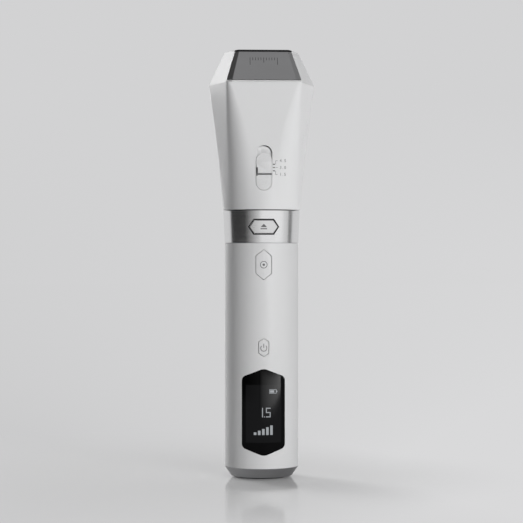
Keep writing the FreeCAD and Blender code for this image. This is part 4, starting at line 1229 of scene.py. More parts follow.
@dataclass
class Collar:
    """Turned metal collar with the cartridge's release button."""

    low: float = 110.2
    high: float = 125.2
    low_radius: float = 17.4
    high_radius: float = 18.05
    bore: float = 16.2
    edge: float = 0.22
    middle: float = 117.6
    half_width: float = 7.1
    half_height: float = 3.55
    flat: float = 4.7
    widening: float = 0.15
    gap: float = 0.65
    face: float = 17.75
    crown: float = 28.0
    crown_reach: Flat = (100.0, 140.0)
    button_edge: float = 0.3
    button_back: float = -12.9
    lip_grow: float = 1.0
    lip_front: float = -13.9
    prong_low: tuple[float, float, float] = (-0.7, -13.0, 119.4)
    prong_high: tuple[float, float, float] = (0.7, -11.9, 120.4)
    prong_place: float = 6.7
    lining_gap: float = 0.02
    lining_hole: float = -0.42
    lining_back: float = -14.9
    lining_radii: Flat = (14.6, 17.2)
    lining_reach: Flat = (112.0, 123.0)
    sign_half_width: float = 1.5
    sign_triangle: Flat = (-0.15, 1.35)
    sign_bar: Flat = (-1.15, -0.7)

    def solid(self, name: str, grow: float, back: float, front: float = AHEAD) -> Piece:
        """The button's outline, grown on every side, as a solid between two places along Y."""
        outline = level_hexagon(self.half_width, self.half_height, self.flat, self.middle, grow)
        return Bench.prism(name, outline, front, back)

    def build(self) -> None:
        """Collar, button and the button's sign."""
        collar = Bench.turn("collar_ring", [(self.bore, self.low), (self.low_radius, self.low),
                                            (self.high_radius, self.high), (self.bore, self.high)], 256)
        collar = Bench.combine(collar, self.solid("window", self.widening, CORE), Cut.TAKE_AWAY)
        fit(Bench.soften(collar, self.edge), Body.HANDLE, COLLAR_METAL, "collar")
        self.lining()
        button = self.button()
        fit(Bench.smooth(button), Body.RELEASE, BUTTON_METAL, "release_button")
        sign = Bench.print_on(Bench.join("release_sign", self.sign()), button)
        fit(sign, Body.RELEASE, GREY_INK)

    def button(self) -> Piece:
        """Crowned button with its lip and the two prongs that spread the clip.

        Returns:
            The new object.
        """
        button = self.solid("release_cap", -self.gap, self.button_back)
        drum = Bench.tube(0, self.crown, *self.crown_reach, 512)
        for vertex in drum.data.vertices:
            vertex.co.y += (self.crown - self.face) * MM
        button = Bench.soften(Bench.combine(button, drum, Cut.KEEP_SHARED), self.button_edge, 4)
        lip = self.solid("lip", self.lip_grow, self.button_back, self.lip_front)
        button = Bench.combine(button, lip, Cut.ADD)
        for side in (-1, 1):
            place = Vector((side * self.prong_place, 0, 0))
            prong = Bench.block("prong", place + Vector(self.prong_low), place + Vector(self.prong_high))
            button = Bench.combine(button, prong, Cut.ADD)
        return button

    def lining(self) -> None:
        """Black lining of the button's opening, with room for the button inside."""
        frame = self.solid("release_surround", self.widening - self.lining_gap, self.lining_back)
        frame = Bench.combine(frame, Bench.tube(*self.lining_radii, *self.lining_reach), Cut.KEEP_SHARED)
        hole = self.solid("hole", self.lining_hole, CORE, FAR_AHEAD)
        fit(Bench.smooth(Bench.combine(frame, hole, Cut.TAKE_AWAY)), Body.HANDLE, BLACK)

    def sign(self) -> list[Piece]:
        """Usual eject sign: a triangle over a bar.

        Returns:
            Its flat parts.
        """
        wide = self.sign_half_width
        base, tip, low, high = (self.middle + place for place in (*self.sign_triangle, *self.sign_bar))
        triangle = Bench.ring("triangle", standing([(-wide, base), (wide, base), (0, tip)], SIGN_PLACE))
        return [triangle, strip(-wide, wide, low, high, SIGN_PLACE)]


@dataclass
class Section:
    """One section of the cartridge body, round or six-sided with rounded corners."""

    height: float
    half_width: float
    half_depth: float
    front_radius: float
    side_radius: float
    bearing: float = math.atan2(20.3, 7.08)
    bearings: tuple[float, float, float] = (20.0, 58.0, 78.0)
    counts: tuple[int, int, int, int] = (6, 12, 6, 6)

    def quarter(self) -> list[Flat]:
        """Points from the middle of the front to the middle of the right side."""
        return self.round_quarter() if self.front_radius <= 0 else self.six_sided_quarter()

    def round_quarter(self) -> list[Flat]:
        """Quarter circle with the six-sided section's counts.

        Returns:
            Its points as x and y pairs.
        """
        stops = [math.radians(stop - 90) for stop in (0.0, *self.bearings, 90.0)]
        points = []
        for start, end, count in zip(stops, stops[1:], self.counts):
            points += arc((0, 0), self.half_width, start, end, count)[:-1]
        return [*points, (self.half_width, 0.0)]

    def six_sided_quarter(self) -> list[Flat]:
        """Half the front flat, its corner's arc, one facet and half the side's arc.

        Returns:
            Its points as x and y pairs.
        """
        along, across = math.cos(self.bearing), math.sin(self.bearing)
        side_sharp = self.half_width + self.side_radius * (1 / across - 1)
        reach = self.front_radius * math.tan(self.bearing / 2)
        flat = side_sharp - self.half_depth * along / across - reach
        front, corner, facet, side = self.counts
        lean = self.bearing - math.pi / 2
        corner_middle = (flat, self.front_radius - self.half_depth)
        corner_arc = arc(corner_middle, self.front_radius, -math.pi / 2, lean, corner)
        side_arc = arc((self.half_width - self.side_radius, 0), self.side_radius, lean, 0, side)
        start, end = Vector(corner_arc[-1]), Vector(side_arc[0])
        points = [(flat * step / front, -self.half_depth) for step in range(front)]
        points += corner_arc[:-1]
        points += [tuple(start.lerp(end, step / facet)) for step in range(facet)]
        return [*points, *side_arc]

    def ring(self) -> list[Flat]:
        """The whole section.

        Returns:
            Its points, anticlockwise from the middle of the front.
        """
        quarter = self.quarter()
        right = [*quarter, *[(x, -y) for x, y in reversed(quarter)][1:]]
        return [*right, *[(-x, y) for x, y in reversed(right)][1:-1]]


@dataclass
class CartridgeBody:
    """White flared body of the cartridge: round at the collar, six-sided at the nose."""

    wall: float = 1.0
    outer_levels: int = 30
    inner_levels: int = 8
    edge: float = 0.22
    base_height: float = 125.65
    base_radius: float = 18.1
    waist: tuple[float, float, float, float, float] = (155.0, 20.95, 19.8, 11.0, 9.0)
    brow: tuple[float, float, float, float, float] = (184.4, 24.9, 22.5, 2.2, 1.4)
    least_radius: float = 0.5
    slot_half_width: float = 3.8
    slot_low: float = 134.4
    slot_high: float = 155.3
    slot_edge: float = 0.1
    mark_middle: float = 145.0
    mark_step: float = 1.5
    figure_step: float = 3.15
    figure_place: float = 8.8
    figure_height: float = 1.35
    stroke: float = 0.16
    dash_stroke: float = 0.48
    dash_ends: Flat = (4.15, 5.1)
    leader_ends: Flat = (5.3, 6.3)
    short_leader: float = 5.5

    def sections(self, inset: float) -> list[Section]:
        """The three driving sections.

        Args:
            inset: how far they are drawn in.

        Returns:
            The sections from the collar to the nose.
        """
        radius = self.base_radius - inset
        drawn = [Section(self.base_height, radius, radius, 0.0, 0.0)]
        for height, wide, deep, *radii in (self.waist, self.brow):
            front, side = (max(value - inset, self.least_radius) for value in radii)
            drawn.append(Section(height, wide - inset, deep - inset, front, side))
        return drawn

    def rings(self, inset: float, levels: int) -> list[list[Vector]]:
        """Rings of points from the collar to the nose, on a curve through the three sections.

        Args:
            inset: how far they are drawn in.
            levels: number of steps.

        Returns:
            The rings in metres.
        """
        driving = self.sections(inset)
        heights = [section.height for section in driving]
        outlines = [section.ring() for section in driving]
        rings = []
        for level in range(levels + 1):
            height = heights[0] + (heights[2] - heights[0]) * level / levels
            weights = []
            for own in heights:
                near, far = (other for other in heights if other != own)
                weights.append((height - near) * (height - far) / ((own - near) * (own - far)))
            ring = []
            for points in zip(*outlines):
                x, y = (sum(weight * value for weight, value in zip(weights, axis)) for axis in zip(*points))
                ring.append((x, y))
            rings.append(lying(ring, height))
        return rings

    def build(self) -> None:
        """Body with the slider's slot, and the depth scale beside it."""
        outer = self.rings(0.0, self.outer_levels)
        inner = self.rings(self.wall, self.inner_levels)
        body = Bench.stack("cartridge_body", [*outer, *reversed(inner)], True)
        body = Bench.soften(body, self.edge, 3, 40)
        slot = stadium(self.slot_half_width, self.slot_low, self.slot_high)
        body = Bench.combine(body, Bench.prism("slot", slot, FAR_AHEAD, INSIDE), Cut.TAKE_AWAY)
        fit(Bench.soften(body, self.slot_edge, 2, 40), Body.CARTRIDGE, WHITE, "cartridge_shell")
        half = self.dash_stroke / 2
        marks = [self.mark_middle + self.mark_step * step for step in (-1, 0, 1)]
        bold = [strip(*self.dash_ends, height - half, height + half, AHEAD) for height in marks]
        fit(Bench.print_on(Bench.join("depth_dashes", bold), body), Body.CARTRIDGE, DARK_INK)
        fine = self.leaders()
        for label, step in (("4.5", 1), ("3.0", 0), ("1.5", -1)):
            place = (self.figure_place, AHEAD, self.mark_middle + self.figure_step * step)
            fine.append(Bench.figure(label, self.figure_height, place))
        fit(Bench.print_on(Bench.join("depth_figures", fine), body), Body.CARTRIDGE, GREY_INK)

    def leaders(self) -> list[Piece]:
        """Fine lines from the dashes to the figures.

        Returns:
            The lines.
        """
        half = self.stroke / 2
        start, end = self.leader_ends
        lines = [strip(self.short_leader, end, self.mark_middle - half, self.mark_middle + half, AHEAD)]
        for side in (1, -1):
            near = self.mark_middle + self.mark_step * side
            far = self.mark_middle + self.figure_step * side
            lines.append(strip(start, start + self.stroke, min(near, far), max(near, far), AHEAD))
            lines.append(strip(start, end, far - half, far + half, AHEAD))
        return lines


@dataclass
class DepthSlider:
    """Slider knob with its thumb step and a dark strip of painted shade under it, the skirt behind the slot
    and the stem to the scanning stage.
    """

    half_width: float = 3.65
    low: float = 134.55
    high: float = 151.85
    back: float = -14.3
    low_front: float = 18.45
    high_front: float = 19.45
    edge: float = 0.1
    rib_top: float = 147.4
    rib_step: float = 142.6
    rib_foot: float = 142.2
    rib_drop: float = 0.2
    rise: float = 1.2
    stem_low: tuple[float, float, float] = (-2.4, -16.5, 141.8)
    stem_high: tuple[float, float, float] = (2.4, -5.5, 144.3)
    skirt_half_width: float = 4.6
    skirt_low: float = 131.0
    skirt_high: float = 158.6
    skirt_gap: float = 0.15
    skirt_thickness: float = 1.0
    crescent: float = 0.32
    crescent_start: float = -22.0
    crescent_end: float = 122.0
    groove: float = 0.6
    groove_depth: float = 1.2
    flank: float = 0.75
    flank_top: float = 2.9
    flank_tail: float = 0.4
    # The next three values place the dark strip of painted shade under the thumb step.
    shade_strip_sink: float = 0.35
    shade_strip_edge: float = 0.08
    shade_strip_gap: float = 0.02
    margin: float = 0.5

    def front(self, height: float) -> float:
        """Place of the knob's face at a height."""
        share = (height - self.low) / (self.high - self.low)
        return -(self.low_front + (self.high_front - self.low_front) * share)

    def outline(self, gap: float = 0.0) -> Piece:
        """The knob's outline, drawn in by a gap, as a solid."""
        return Bench.prism("outline", stadium(self.half_width - gap, self.low, self.high), FAR_AHEAD, INSIDE)

    def build(self, body: CartridgeBody) -> None:
        """Knob cut from its side view and its outline, joined to the skirt and the stem.

        Args:
            body: the cartridge body that the slider's skirt lies in.
        """
        rib = self.front(self.rib_step) - self.rise
        slope = [(self.front(height), height) for height in (self.high, self.rib_top)]
        side_view = [(self.front(self.low), self.low), (self.back, self.low), (self.back, self.high), *slope,
                     (rib, self.rib_step), (rib, self.rib_foot + self.rib_drop),
                     (self.front(self.rib_foot), self.rib_foot)]
        knob = Bench.bar("slider_knob", side_view, self.half_width + 2 * self.margin)
        knob = Bench.soften(Bench.combine(knob, self.outline(), Cut.KEEP_SHARED), self.edge, 3, 25)
        knob = Bench.combine(knob, self.shade_strip("grip_cut", 0.0), Cut.TAKE_AWAY)
        for part in (self.skirt(body), Bench.block("stem", self.stem_low, self.stem_high)):
            knob = Bench.combine(knob, part, Cut.ADD)
        fit(Bench.smooth(knob), Body.DEPTH, KEY_WHITE, "depth_slider")
        # The dark strip in the groove is painted shade: it stands in for the shadow under the thumb step and
        # beside it on the left.
        shade_strip = self.shade_strip("slider_grip", self.shade_strip_sink)
        fit(Bench.soften(shade_strip, self.shade_strip_edge, 2), Body.DEPTH, FOOT_GREY)

    def shade_strip(self, name: str, sink: float) -> Piece:
        """Dark strip of painted shade in a real groove under the thumb step and up its left side, standing in
        for the shadow there, or the cut that takes the groove.

        Args:
            name: name of the object.
            sink: how far its face lies behind the knob's face; nothing gives the cut.

        Returns:
            The new object.
        """
        foot, low = self.rib_foot, self.rib_foot - self.groove
        right = self.half_width + self.margin
        side = self.flank - self.half_width
        top, tail = foot + self.flank_top, low - self.flank_tail
        points = [(-right, tail), (side, tail), (side, low), (right, low), (right, foot), (side, foot),
                  (side, top), (-right, top)]
        face = self.front(low)
        piece = Bench.prism(name, points, face + sink if sink else FAR_AHEAD, face + self.groove_depth)
        return Bench.combine(piece, self.outline(self.shade_strip_gap), Cut.KEEP_SHARED) if sink else piece

    def skirt(self, body: CartridgeBody) -> Piece:
        """Curved plate that closes the slot behind the knob, but for a thin crescent at its upper right.

        Args:
            body: the cartridge body that it lies in.

        Returns:
            The new object.
        """
        outer = body.rings(body.wall + self.skirt_gap, body.inner_levels)
        inner = body.rings(body.wall + self.skirt_gap + self.skirt_thickness, body.inner_levels)
        layer = Bench.stack("skirt", [*outer, *reversed(inner)], True)
        window = Bench.block("window", (-self.skirt_half_width, AHEAD, self.skirt_low),
                             (self.skirt_half_width, INSIDE, self.skirt_high))
        layer = Bench.combine(layer, window, Cut.KEEP_SHARED)
        radius = body.slot_half_width
        edge = arc((0, body.slot_high - radius), radius, math.radians(self.crescent_start),
                   math.radians(self.crescent_end), 30)
        inner_edge = [(x - self.crescent, z - self.crescent) for x, z in reversed(edge[1:-1])]
        crescent = Bench.prism("crescent", [*edge, *inner_edge], AHEAD, INSIDE)
        return Bench.combine(layer, crescent, Cut.TAKE_AWAY)


@dataclass
class Nose:
    """White six-sided nose with the metal scale plate, the black rim and the acoustic film."""

    low: float = 184.4
    plate_low: float = 185.45
    crest: float = 199.15
    top: float = 200.0
    ridge: tuple[float, float, float, float, float] = (24.9, 17.82, 20.3, 15.0, 22.5)
    crest_sizes: tuple[float, float, float, float, float] = (17.83, 13.29, 13.0, 11.32, 14.56)
    wall: float = 1.8
    roof: float = 1.5
    edge: float = 0.22
    back_lean: float = 1.2
    margin: float = 30.0
    headroom: float = 5.0
    lip: float = 0.65
    lip_top: float = 199.9
    lip_front: float = -12.1
    plate_gap: float = 0.3
    tick_count: int = 11
    tick_pitch: float = 1.27
    tick_half_width: float = 0.12
    tick_thickness: float = 0.02
    tick_start: float = 0.2
    tick_ends: tuple[float, float, float] = (0.44, 0.37, 0.29)
    rim_width: float = 2.6
    rim_gap: float = 0.08
    rim_edge: float = 0.2
    rim_corner: float = 0.6
    hole_corner: float = 1.0
    hole_margin: float = 2.0
    rim_overhang: float = 0.25
    rim_end_length: float = 1.9
    rim_end_height: float = 0.8
    bar_gap: float = 0.05
    bar_corner: float = 0.3
    bar_front: float = -20.0
    ledge: float = 1.3
    dome: tuple[Flat, ...] = ((0.99, 0.0), (0.99, 0.40), (0.98, 0.45), (0.9, 0.53), (0.75, 0.61), (0.5, 0.69),
                              (0.25, 0.73))

    def sizes_at(self, height: float) -> list[float]:
        """Half width, side corner and front or back corner at a height on the nose's slope."""
        share = (height - self.low) / (self.crest - self.low)
        return [start + (end - start) * share for start, end in zip(self.ridge, self.crest_sizes)]

    def outline(self, height: float, inset: float) -> list[Flat]:
        """Eight corners at a height: a flat front and a bevelled back.

        Args:
            height: the height.
            inset: how far they are drawn in.

        Returns:
            The corners as x and y pairs.
        """
        wide, corner_x, corner_y, back_x, back_y = self.sizes_at(height)
        return mirrored([(corner_x - inset / 2, inset - corner_y), (wide - inset, 0.0),
                         (corner_x - inset / 2, corner_y - inset),
                         (back_x - inset / 2, back_y - inset * self.back_lean)])

    def build(self) -> None:
        """Frame with its lip, plate, rim and film."""
        window = self.rim_width + self.ledge
        below = self.crest - self.roof
        steps = ((self.low, 0.0), (self.lip_top, 0.0), (self.lip_top, self.lip), (self.crest, self.lip),
                 (self.crest, window), (below, window), (below, self.wall), (self.low, self.wall))
        rings = [lying(self.outline(height, inset), height) for height, inset in steps]
        frame = Bench.stack("nose_body", rings, True)
        front = Bench.block("front", (-self.margin, -self.margin, self.crest),
                            (self.margin, self.lip_front, self.top + self.headroom))
        frame = Bench.combine(frame, front, Cut.TAKE_AWAY)
        frame = Bench.combine(frame, self.slope("sill", self.low, self.plate_low - self.plate_gap), Cut.ADD)
        fit(Bench.soften(frame, self.edge, 3, 15), Body.CARTRIDGE, WHITE, "nose_frame")
        plate = self.slope("scale_plate_brushed", self.plate_low, self.crest)
        fit(Bench.soften(plate, self.edge, 3, 20), Body.CARTRIDGE, PLATE_METAL, "scale_plate")
        fit(self.ruler(), Body.CARTRIDGE, DARK_INK)
        self.build_window()

    def slope(self, name: str, low: float, high: float) -> Piece:
        """Part of the plate's wedge between two heights.

        Args:
            name: name of the object.
            low: the lower height.
            high: the upper height.

        Returns:
            The new object.
        """
        rings = []
        for height in (low, high):
            _, corner_x, corner_y, front_x, front_y = self.sizes_at(height)
            left = [(-corner_x, -corner_y), (-front_x, -front_y)]
            rings.append(lying(mirrored(left), height))
        return Bench.stack(name, rings, False)

    def ruler(self) -> Piece:
        """Printed ticks on the plate's slope, the outer ones longest and the middle one next.

        Returns:
            The ticks as one object.
        """
        head = Vector((0, -self.crest_sizes[4], self.crest))
        slope = head - Vector((0, -self.ridge[4], self.low))
        outward = Vector((0, -slope.z, slope.y)).normalized() * self.tick_thickness
        last = self.tick_count - 1
        outer, centre, plain = self.tick_ends
        ticks = []
        for step in range(self.tick_count):
            end = outer if step in (0, last) else centre if step == last / 2 else plain
            x = self.tick_pitch * (step - last / 2)
            points = []
            for share, side in ((self.tick_start, -1), (self.tick_start, 1), (end, 1), (end, -1)):
                points.append((head - slope * share + Vector((x + side * self.tick_half_width, 0, 0))) * MM)
            ticks.append(Bench.extruded(Bench.ring("tick", points), outward))
        return Bench.join("ruler_ticks", ticks)

    @staticmethod
    def slab(name: str, points: Sequence[Flat], low: float, high: float, corner: float) -> Piece:
        """Flat solid between two heights, with its upright edges rounded."""
        solid = Bench.stack(name, [lying(points, low), lying(points, high)], False)
        return Bench.round_along(solid, Vector((0, 0, 1)), corner)

    def build_window(self) -> None:
        """Black rim, inside the lip and over the plate's top edge, and the slightly domed film inside it."""
        wide, corner_x, corner_y, front_x, front_y = self.crest_sizes
        end_x, end_y = corner_x + self.rim_overhang, self.lip_front - self.bar_gap
        bar = mirrored([(front_x, -front_y), (corner_x, -corner_y), (end_x, end_y)])
        inner_x, inner_y = corner_x - self.rim_width / 2, corner_y - self.rim_width
        hole = mirrored([(inner_x, -inner_y), (wide - self.rim_width, 0.0), (inner_x, inner_y)])
        turns = [math.pi / 2 * step / 8 for step in range(9)]
        ends = mirrored([(end_x, self.crest), *[(end_x - self.rim_end_length * (1 - math.cos(turn)),
                                                 self.top - self.rim_end_height * (1 - math.sin(turn)))
                                                for turn in turns]])
        bar = self.slab("bar", bar, self.crest, self.top, self.bar_corner)
        bar = Bench.combine(bar, Bench.prism("ends", ends, self.bar_front, end_y), Cut.KEEP_SHARED)
        around = self.outline(self.crest, self.lip + self.rim_gap)
        rim = self.slab("window_rim", around, self.crest, self.top, self.rim_corner)
        rim = Bench.combine(rim, bar, Cut.ADD)
        through = self.slab("hole", hole, self.crest - self.hole_margin, self.top + self.hole_margin,
                            self.hole_corner)
        rim = Bench.combine(rim, through, Cut.TAKE_AWAY)
        fit(Bench.soften(rim, self.rim_edge, 3, 40), Body.CARTRIDGE, BLACK, "window_frame")
        levels = [lying([(x * share, y * share) for x, y in hole], self.crest + lift)
                  for share, lift in self.dome]
        film = Bench.stack("acoustic_film", levels, False)
        fit(Bench.smooth(film, 40), Body.CARTRIDGE, FILM, "acoustic_window")


@dataclass
class Insides:
    """Pieces that show only when the cartridge is out, or not at all: better shading and finishes."""

    release_travel: float = 1.1
    plug_edge: float = 0.2

    def build(self, frame: dict[str, Any]) -> None:
        """Dress the plug side of the cartridge and paint what stays.
        """
        nodes = frame["nodes"]
        plug = Bench.cad_copy(nodes["cartridge_plug"], "plug_body")
        fit(Bench.soften(plug, self.plug_edge, 2, 60), Body.CARTRIDGE, GREY, "cartridge_plug")
        for node, name, body, finish in (("spigot_seal", "seal_ring", Body.CARTRIDGE, RUBBER),
                                         ("contact_pads", "plug_pads", Body.CARTRIDGE, GOLD),
                                         ("contact_pins", "socket_pins", Body.HANDLE, GOLD),
                                         ("latch_clip", "spring_clip", Body.HANDLE, STEEL)):
            fit(Bench.cad_copy(nodes[node], name), body, finish, node)
        self.build_springs(nodes["release_springs"])
        kept = (FOOT_GREY, RUBBER, BLACK, GREY, SLEEVE, FILM, BOWL, PANEL, STEEL, CUP_METAL, GOLD, COPPER,
                BOARD)
        finishes = {finish.slot: finish for finish in kept}
        for entry in frame["record"]["subparts"]:
            finish = finishes.get(entry["material_slot"])
            if finish:
                painted = nodes[entry["node"]].data.materials
                painted.clear()
                painted.append(finish.material())

    def build_springs(self, node: Piece) -> None:
        """Coil springs behind the release button, on a mesh of their own.

        Args:
            node: the CAD node of the springs.
        """
        springs = fit(Bench.cad_copy(node, "return_springs"), Body.HANDLE, STEEL, node.name)
        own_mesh(springs)


@dataclass
class Studio:
    """Pale floor, soft lights and the photograph's camera."""

    backdrop: float = 0.645
    # slant is painted shade and light across the backdrop: darker on the left, lighter on the right.
    slant: float = 0.075
    slant_width: float = 0.32
    slant_core: float = 40.0
    zenith: float = 0.42
    coolness: float = 1.01
    fill: float = 0.42
    floor_size: float = 12000.0
    floor_tone: Colour = (0.55, 0.55, 0.555)
    shadow_near: float = 16.0
    shadow_far: float = 250.0
    shadow_slant: float = 0.9
    least_glow: float = 0.08
    eye_height: float = 104.5
    distance: float = 908.0
    bearing: float = -3.5
    lens: float = 132.2
    shift: float = -0.0124
    sensor: float = 36.0
    nearest: float = 10.0
    card_height: float = 1000.0
    strip_middle: float = 330.0
    strip_length: float = 540.0
    strip_glow: float = 0.55
    strip_rise: float = 10.0
    strip_lean: float = 0.95
    strip_aim: float = 600.0

    def build(self) -> None:
        """Floor, world, lamps and camera."""
        self.floor()
        self.world()
        self.lamp("broad_key", (660, -1320, 250), (0, 0, 120), (700, 700), 9.0, Shows.LIGHT)
        self.lamp("softbox_right", (1150, -760, 240), (0, 0, 110), (1000, 1100), 0.4, Shows.LIGHT)
        self.lamp("rim_back_left", (-693, 1028, 394), (0, 0, 130), (420, 800), 12.0, Shows.LIGHT)
        self.lamp("front_sheet", (500, -900, 250), (0, 0, 110), (1600, 900), 0.23, Shows.MIRROR)
        kicker = self.lamp("foot_kicker", (-95, -55, 16), (-16, -4, 3), (120, 30), 8.0, Shows.LIGHT)
        self.shine_on(kicker, "foot")
        bounce = self.lamp("bounce_right", (300, 20, 6), (290, 20, 600), (320, 360), 0.95, Shows.LIGHT)
        self.shine_on(bounce, "cartridge_body")
        for bearing, width in ((48, 150), (-72, 60), (138, 70), (-152, 170)):
            self.floor_strip(f"floor_strip_{bearing % 360}", math.radians(bearing), width)
        self.cards()
        self.camera()

    def grey(self, tone: float) -> Colour:
        """Slightly cool grey of the backdrop."""
        return (tone, tone, tone * self.coolness)

    def floor(self) -> None:
        """Large pale floor that keeps the shadow near the wand and fades into the backdrop."""
        Bench.pick()
        bpy.ops.mesh.primitive_plane_add(size=self.floor_size * MM)
        floor = Bench.named(bpy.context.object, "studio_floor")
        made, graph = material_graph("pale_floor")
        across, deep, _ = graph.axes()
        reach = graph.math("SQRT", across * across + deep * deep)
        side = across / (reach * self.slant_width + self.slant_core * MM)
        right = graph.mapped(side, (0.0, 1.0))
        # Painted light: the floor turns into the backdrop's glow sooner on the right, so the floor and its
        # shadow there look lighter.
        far = graph.mapped(reach * (1 + right * self.shadow_slant),
                           (self.shadow_near * MM, self.shadow_far * MM), (self.least_glow, 1.0), True)
        grain = graph.noise((900, 900, 900), 2.0)
        tone = graph.blend(self.seen(graph), self.floor_tone, (1.0, 1.0, 1.0))
        matt = graph.node("ShaderNodeBsdfPrincipled", None,
                          {"Base Color": tone, "Roughness": 0.085 + grain * 0.03, "Specular IOR Level": 0.25})
        glow = graph.node("ShaderNodeEmission", None, {"Color": self.pale(graph, side)})
        mixed = graph.mixed(far * self.seen(graph), matt, glow)
        graph.node("ShaderNodeOutputMaterial", None, {"Surface": mixed})
        floor.data.materials.append(made)

    def world(self) -> None:
        """Backdrop all round, a little darker overhead."""
        world = bpy.data.worlds.new("studio_world")
        bpy.context.scene.world = world
        world.use_nodes = True
        graph = Graph(world.node_tree)
        across, _, up = graph.axes("Generated")
        low = graph.mapped(up, (0.0, 0.08), (1.0, 0.0))
        pale = self.pale(graph, across * low * (1 / self.slant_width))
        tone = graph.blend(graph.mapped(up, (0.1, 0.9), soft=True), pale, self.grey(self.zenith))
        light, view = (graph.node("ShaderNodeBackground", None, {"Color": tone, "Strength": strength})
                       for strength in (self.fill, 1.0))
        graph.node("ShaderNodeOutputWorld", None, {"Surface": graph.mixed(self.seen(graph), light, view)})

    def pale(self, graph: Graph, side: Signal) -> Signal:
        """Backdrop colour with painted shade, so that the camera sees it a little darker on the left than on
        the right.

        Args:
            graph: the nodes of the floor or of the world.
            side: from minus one on the left to one on the right.

        Returns:
            The colour.
        """
        # Painted shade and light: for camera rays alone the backdrop is darkened on the left and lightened on
        # the right.
        share = graph.mapped(side, (-1.0, 1.0), (-0.5, 0.5))
        mask = 0.5 + share * graph.out(graph.node("ShaderNodeLightPath"), "Is Camera Ray")
        left, right = (self.grey(self.backdrop * (1 + change)) for change in (-self.slant, self.slant))
        return graph.blend(mask, left, right)

    @staticmethod
    def seen(graph: Graph) -> Signal:
        """Mask of the rays that show the backdrop itself or its mirror image.

        Args:
            graph: the nodes of the floor or of the world.

        Returns:
            One for such rays.
        """
        path = graph.node("ShaderNodeLightPath")
        shown = graph.out(path, "Is Camera Ray") | graph.out(path, "Is Glossy Ray")
        return shown | graph.out(path, "Is Transmission Ray")

    def floor_strip(self, name: str, bearing: float, width: float) -> None:
        """Lit strip on the floor, away from the wand, that shows in the collar alone, seen from above.

        Args:
            name: name of the strip.
            bearing: where it lies, turned from the front towards the right.
            width: its width in millimetres.
        """
        along = Vector((math.sin(bearing), -math.cos(bearing), 0))
        place = along * self.strip_middle + Vector((0, 0, self.strip_rise))
        target = along * self.strip_middle * self.strip_lean + Vector((0, 0, self.strip_aim))
        strip_lamp = self.lamp(name, place, target, (width, self.strip_length), self.strip_glow, Shows.MIRROR)
        self.shine_on(strip_lamp, "collar_ring")

    @staticmethod
    def lamp(name: str, place: Sequence[float], target: Sequence[float], size: Flat, glow: float,
             shows: Shows) -> Piece:
        """Rectangular soft light.

        Args:
            name: name of the lamp.
            place: where it stands, in millimetres.
            target: where it points, in millimetres.
            size: width and height in millimetres.
            glow: how bright its face looks, 1 being white.
            shows: whether it lights or shows in gloss and metal.

        Returns:
            The lamp.
        """
        data = bpy.data.lights.new(name, "AREA")
        data.shape = "RECTANGLE"
        data.size, data.size_y = size[0] * MM, size[1] * MM
        data.energy = glow * math.pi * data.size * data.size_y
        lamp = bpy.data.objects.new(name, data)
        bpy.context.scene.collection.objects.link(lamp)
        lamp.location = Vector(place) * MM
        lamp.rotation_euler = (Vector(target) - Vector(place)).to_track_quat("-Z", "Y").to_euler()
        lamp.visible_camera = False
        lamp.visible_glossy = shows is Shows.MIRROR
        lamp.visible_diffuse = shows is Shows.LIGHT
        return lamp

    def cards(self) -> None:
        """Cards that the camera doesn't see: dark ones in what metal and gloss show, and two bright ones."""
        joint, corner = (-430.0, -340.0), (-560.0, 200.0)
        right = (640.0, -55.0), (640.0, 130.0)
        top = self.card_height
        self.card("dark_card_left", joint, corner, (0.03, 0.03), (0.0, 0.0, top))
        self.card("dark_card_high", corner, (-640.0, 400.0), (0.02, 0.02), (420.0, 420.0, top))
        self.card("dark_card_right", *right, (0.17, 0.17), (0.0, 0.0, 190.0))
        self.card("dark_card_right_high", *right, (0.05, 0.05), (400.0, 400.0, top))
        self.card("fading_card", joint, (-70.0, -570.0), (0.035, self.backdrop), (0.0, 0.0, top))
        glint = self.card("glint_card", (-70.0, -395.0), (340.0, -212.0), (0.0, 15.0), (1.0, 15.0, 29.0))
        bright = self.card("bright_card", (-150.0, 76.0), (-50.0, 144.0), (2.3, 2.3), (180.0, 180.0, 300.0))
        for lit, pieces in ((glint, ("display_glass",)), (bright, ("nose_body", "cartridge_body"))):
            lit.visible_diffuse = False
            lit.visible_shadow = False
            self.shine_on(lit, *pieces)

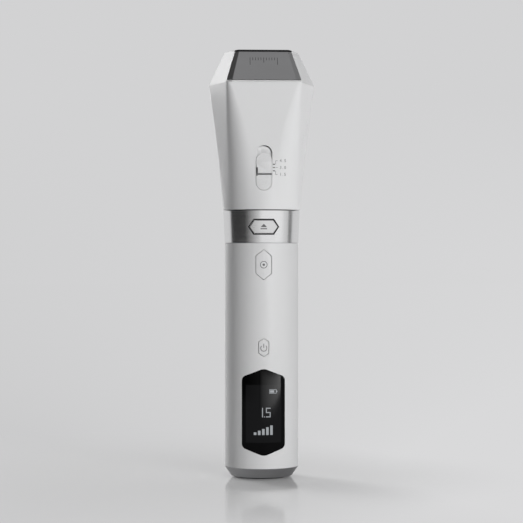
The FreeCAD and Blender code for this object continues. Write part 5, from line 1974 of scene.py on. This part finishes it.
    @staticmethod
    def shine_on(light: Piece, *pieces: str) -> None:
        """Let a lamp or a bright card act on some pieces alone.

        Args:
            light: the lamp or card.
            pieces: names of the pieces.
        """
        lit = bpy.data.collections.new(f"{light.name}_receivers")
        for piece in pieces:
            lit.objects.link(bpy.data.objects[piece])
        light.light_linking.receiver_collection = lit

    @staticmethod
    def card(name: str, start: Flat, end: Flat, tones: Flat, heights: tuple[float, float, float]) -> Piece:
        """Upright card between two places in millimetres.

        Args:
            name: name of the card.
            start: place of its left edge.
            end: place of its right edge.
            tones: how bright it looks at its start and at its end.
            heights: its lower edge at the start and at the end, and its upper edge.

        Returns:
            The card.
        """
        made, graph = material_graph(f"{name}_cloth")
        across, deep, _ = graph.axes()
        along = Vector((end[0] - start[0], end[1] - start[1])) * MM
        reach = (across - start[0] * MM) * along.x + (deep - start[1] * MM) * along.y
        share = graph.mapped(reach, (0.0, along.length_squared))
        glow = graph.node("ShaderNodeEmission", None,
                          {"Color": graph.blend(share, (tones[0],) * 3, (tones[1],) * 3)})
        graph.node("ShaderNodeOutputMaterial", None, {"Surface": graph.out(glow)})
        corners = ((start, heights[0]), (end, heights[1]), (end, heights[2]), (start, heights[2]))
        card = Bench.ring(name, [Vector((*place, height)) * MM for place, height in corners])
        card.visible_camera = False
        card.data.materials.append(made)
        return card

    def camera(self) -> None:
        """Level camera a little left of the wand's front."""
        data = bpy.data.cameras.new("photo_camera")
        data.lens = self.lens
        data.sensor_width = self.sensor
        data.shift_y = self.shift
        data.clip_start = self.nearest * MM
        camera = bpy.data.objects.new("photo_camera", data)
        bpy.context.scene.collection.objects.link(camera)
        turn = math.radians(self.bearing)
        back = Vector((math.sin(turn), -math.cos(turn), 0)) * self.distance
        camera.location = (back + Vector((0, 0, self.eye_height))) * MM
        camera.rotation_euler = (-back).to_track_quat("-Z", "Y").to_euler()
        bpy.context.scene.camera = camera


def main() -> None:
    """Build every sub-assembly round the frame."""
    logging.basicConfig(level=logging.INFO, format="%(name)s: %(message)s")
    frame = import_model()
    bpy.context.scene.view_settings.view_transform = "Standard"
    Foot().build()
    HandleTube().build(frame)
    Collar().build()
    CartridgeBody().build()
    DepthSlider().build(CartridgeBody())
    Nose().build()
    Insides().build(frame)
    Studio().build()


if __name__ == "__main__":
    main()
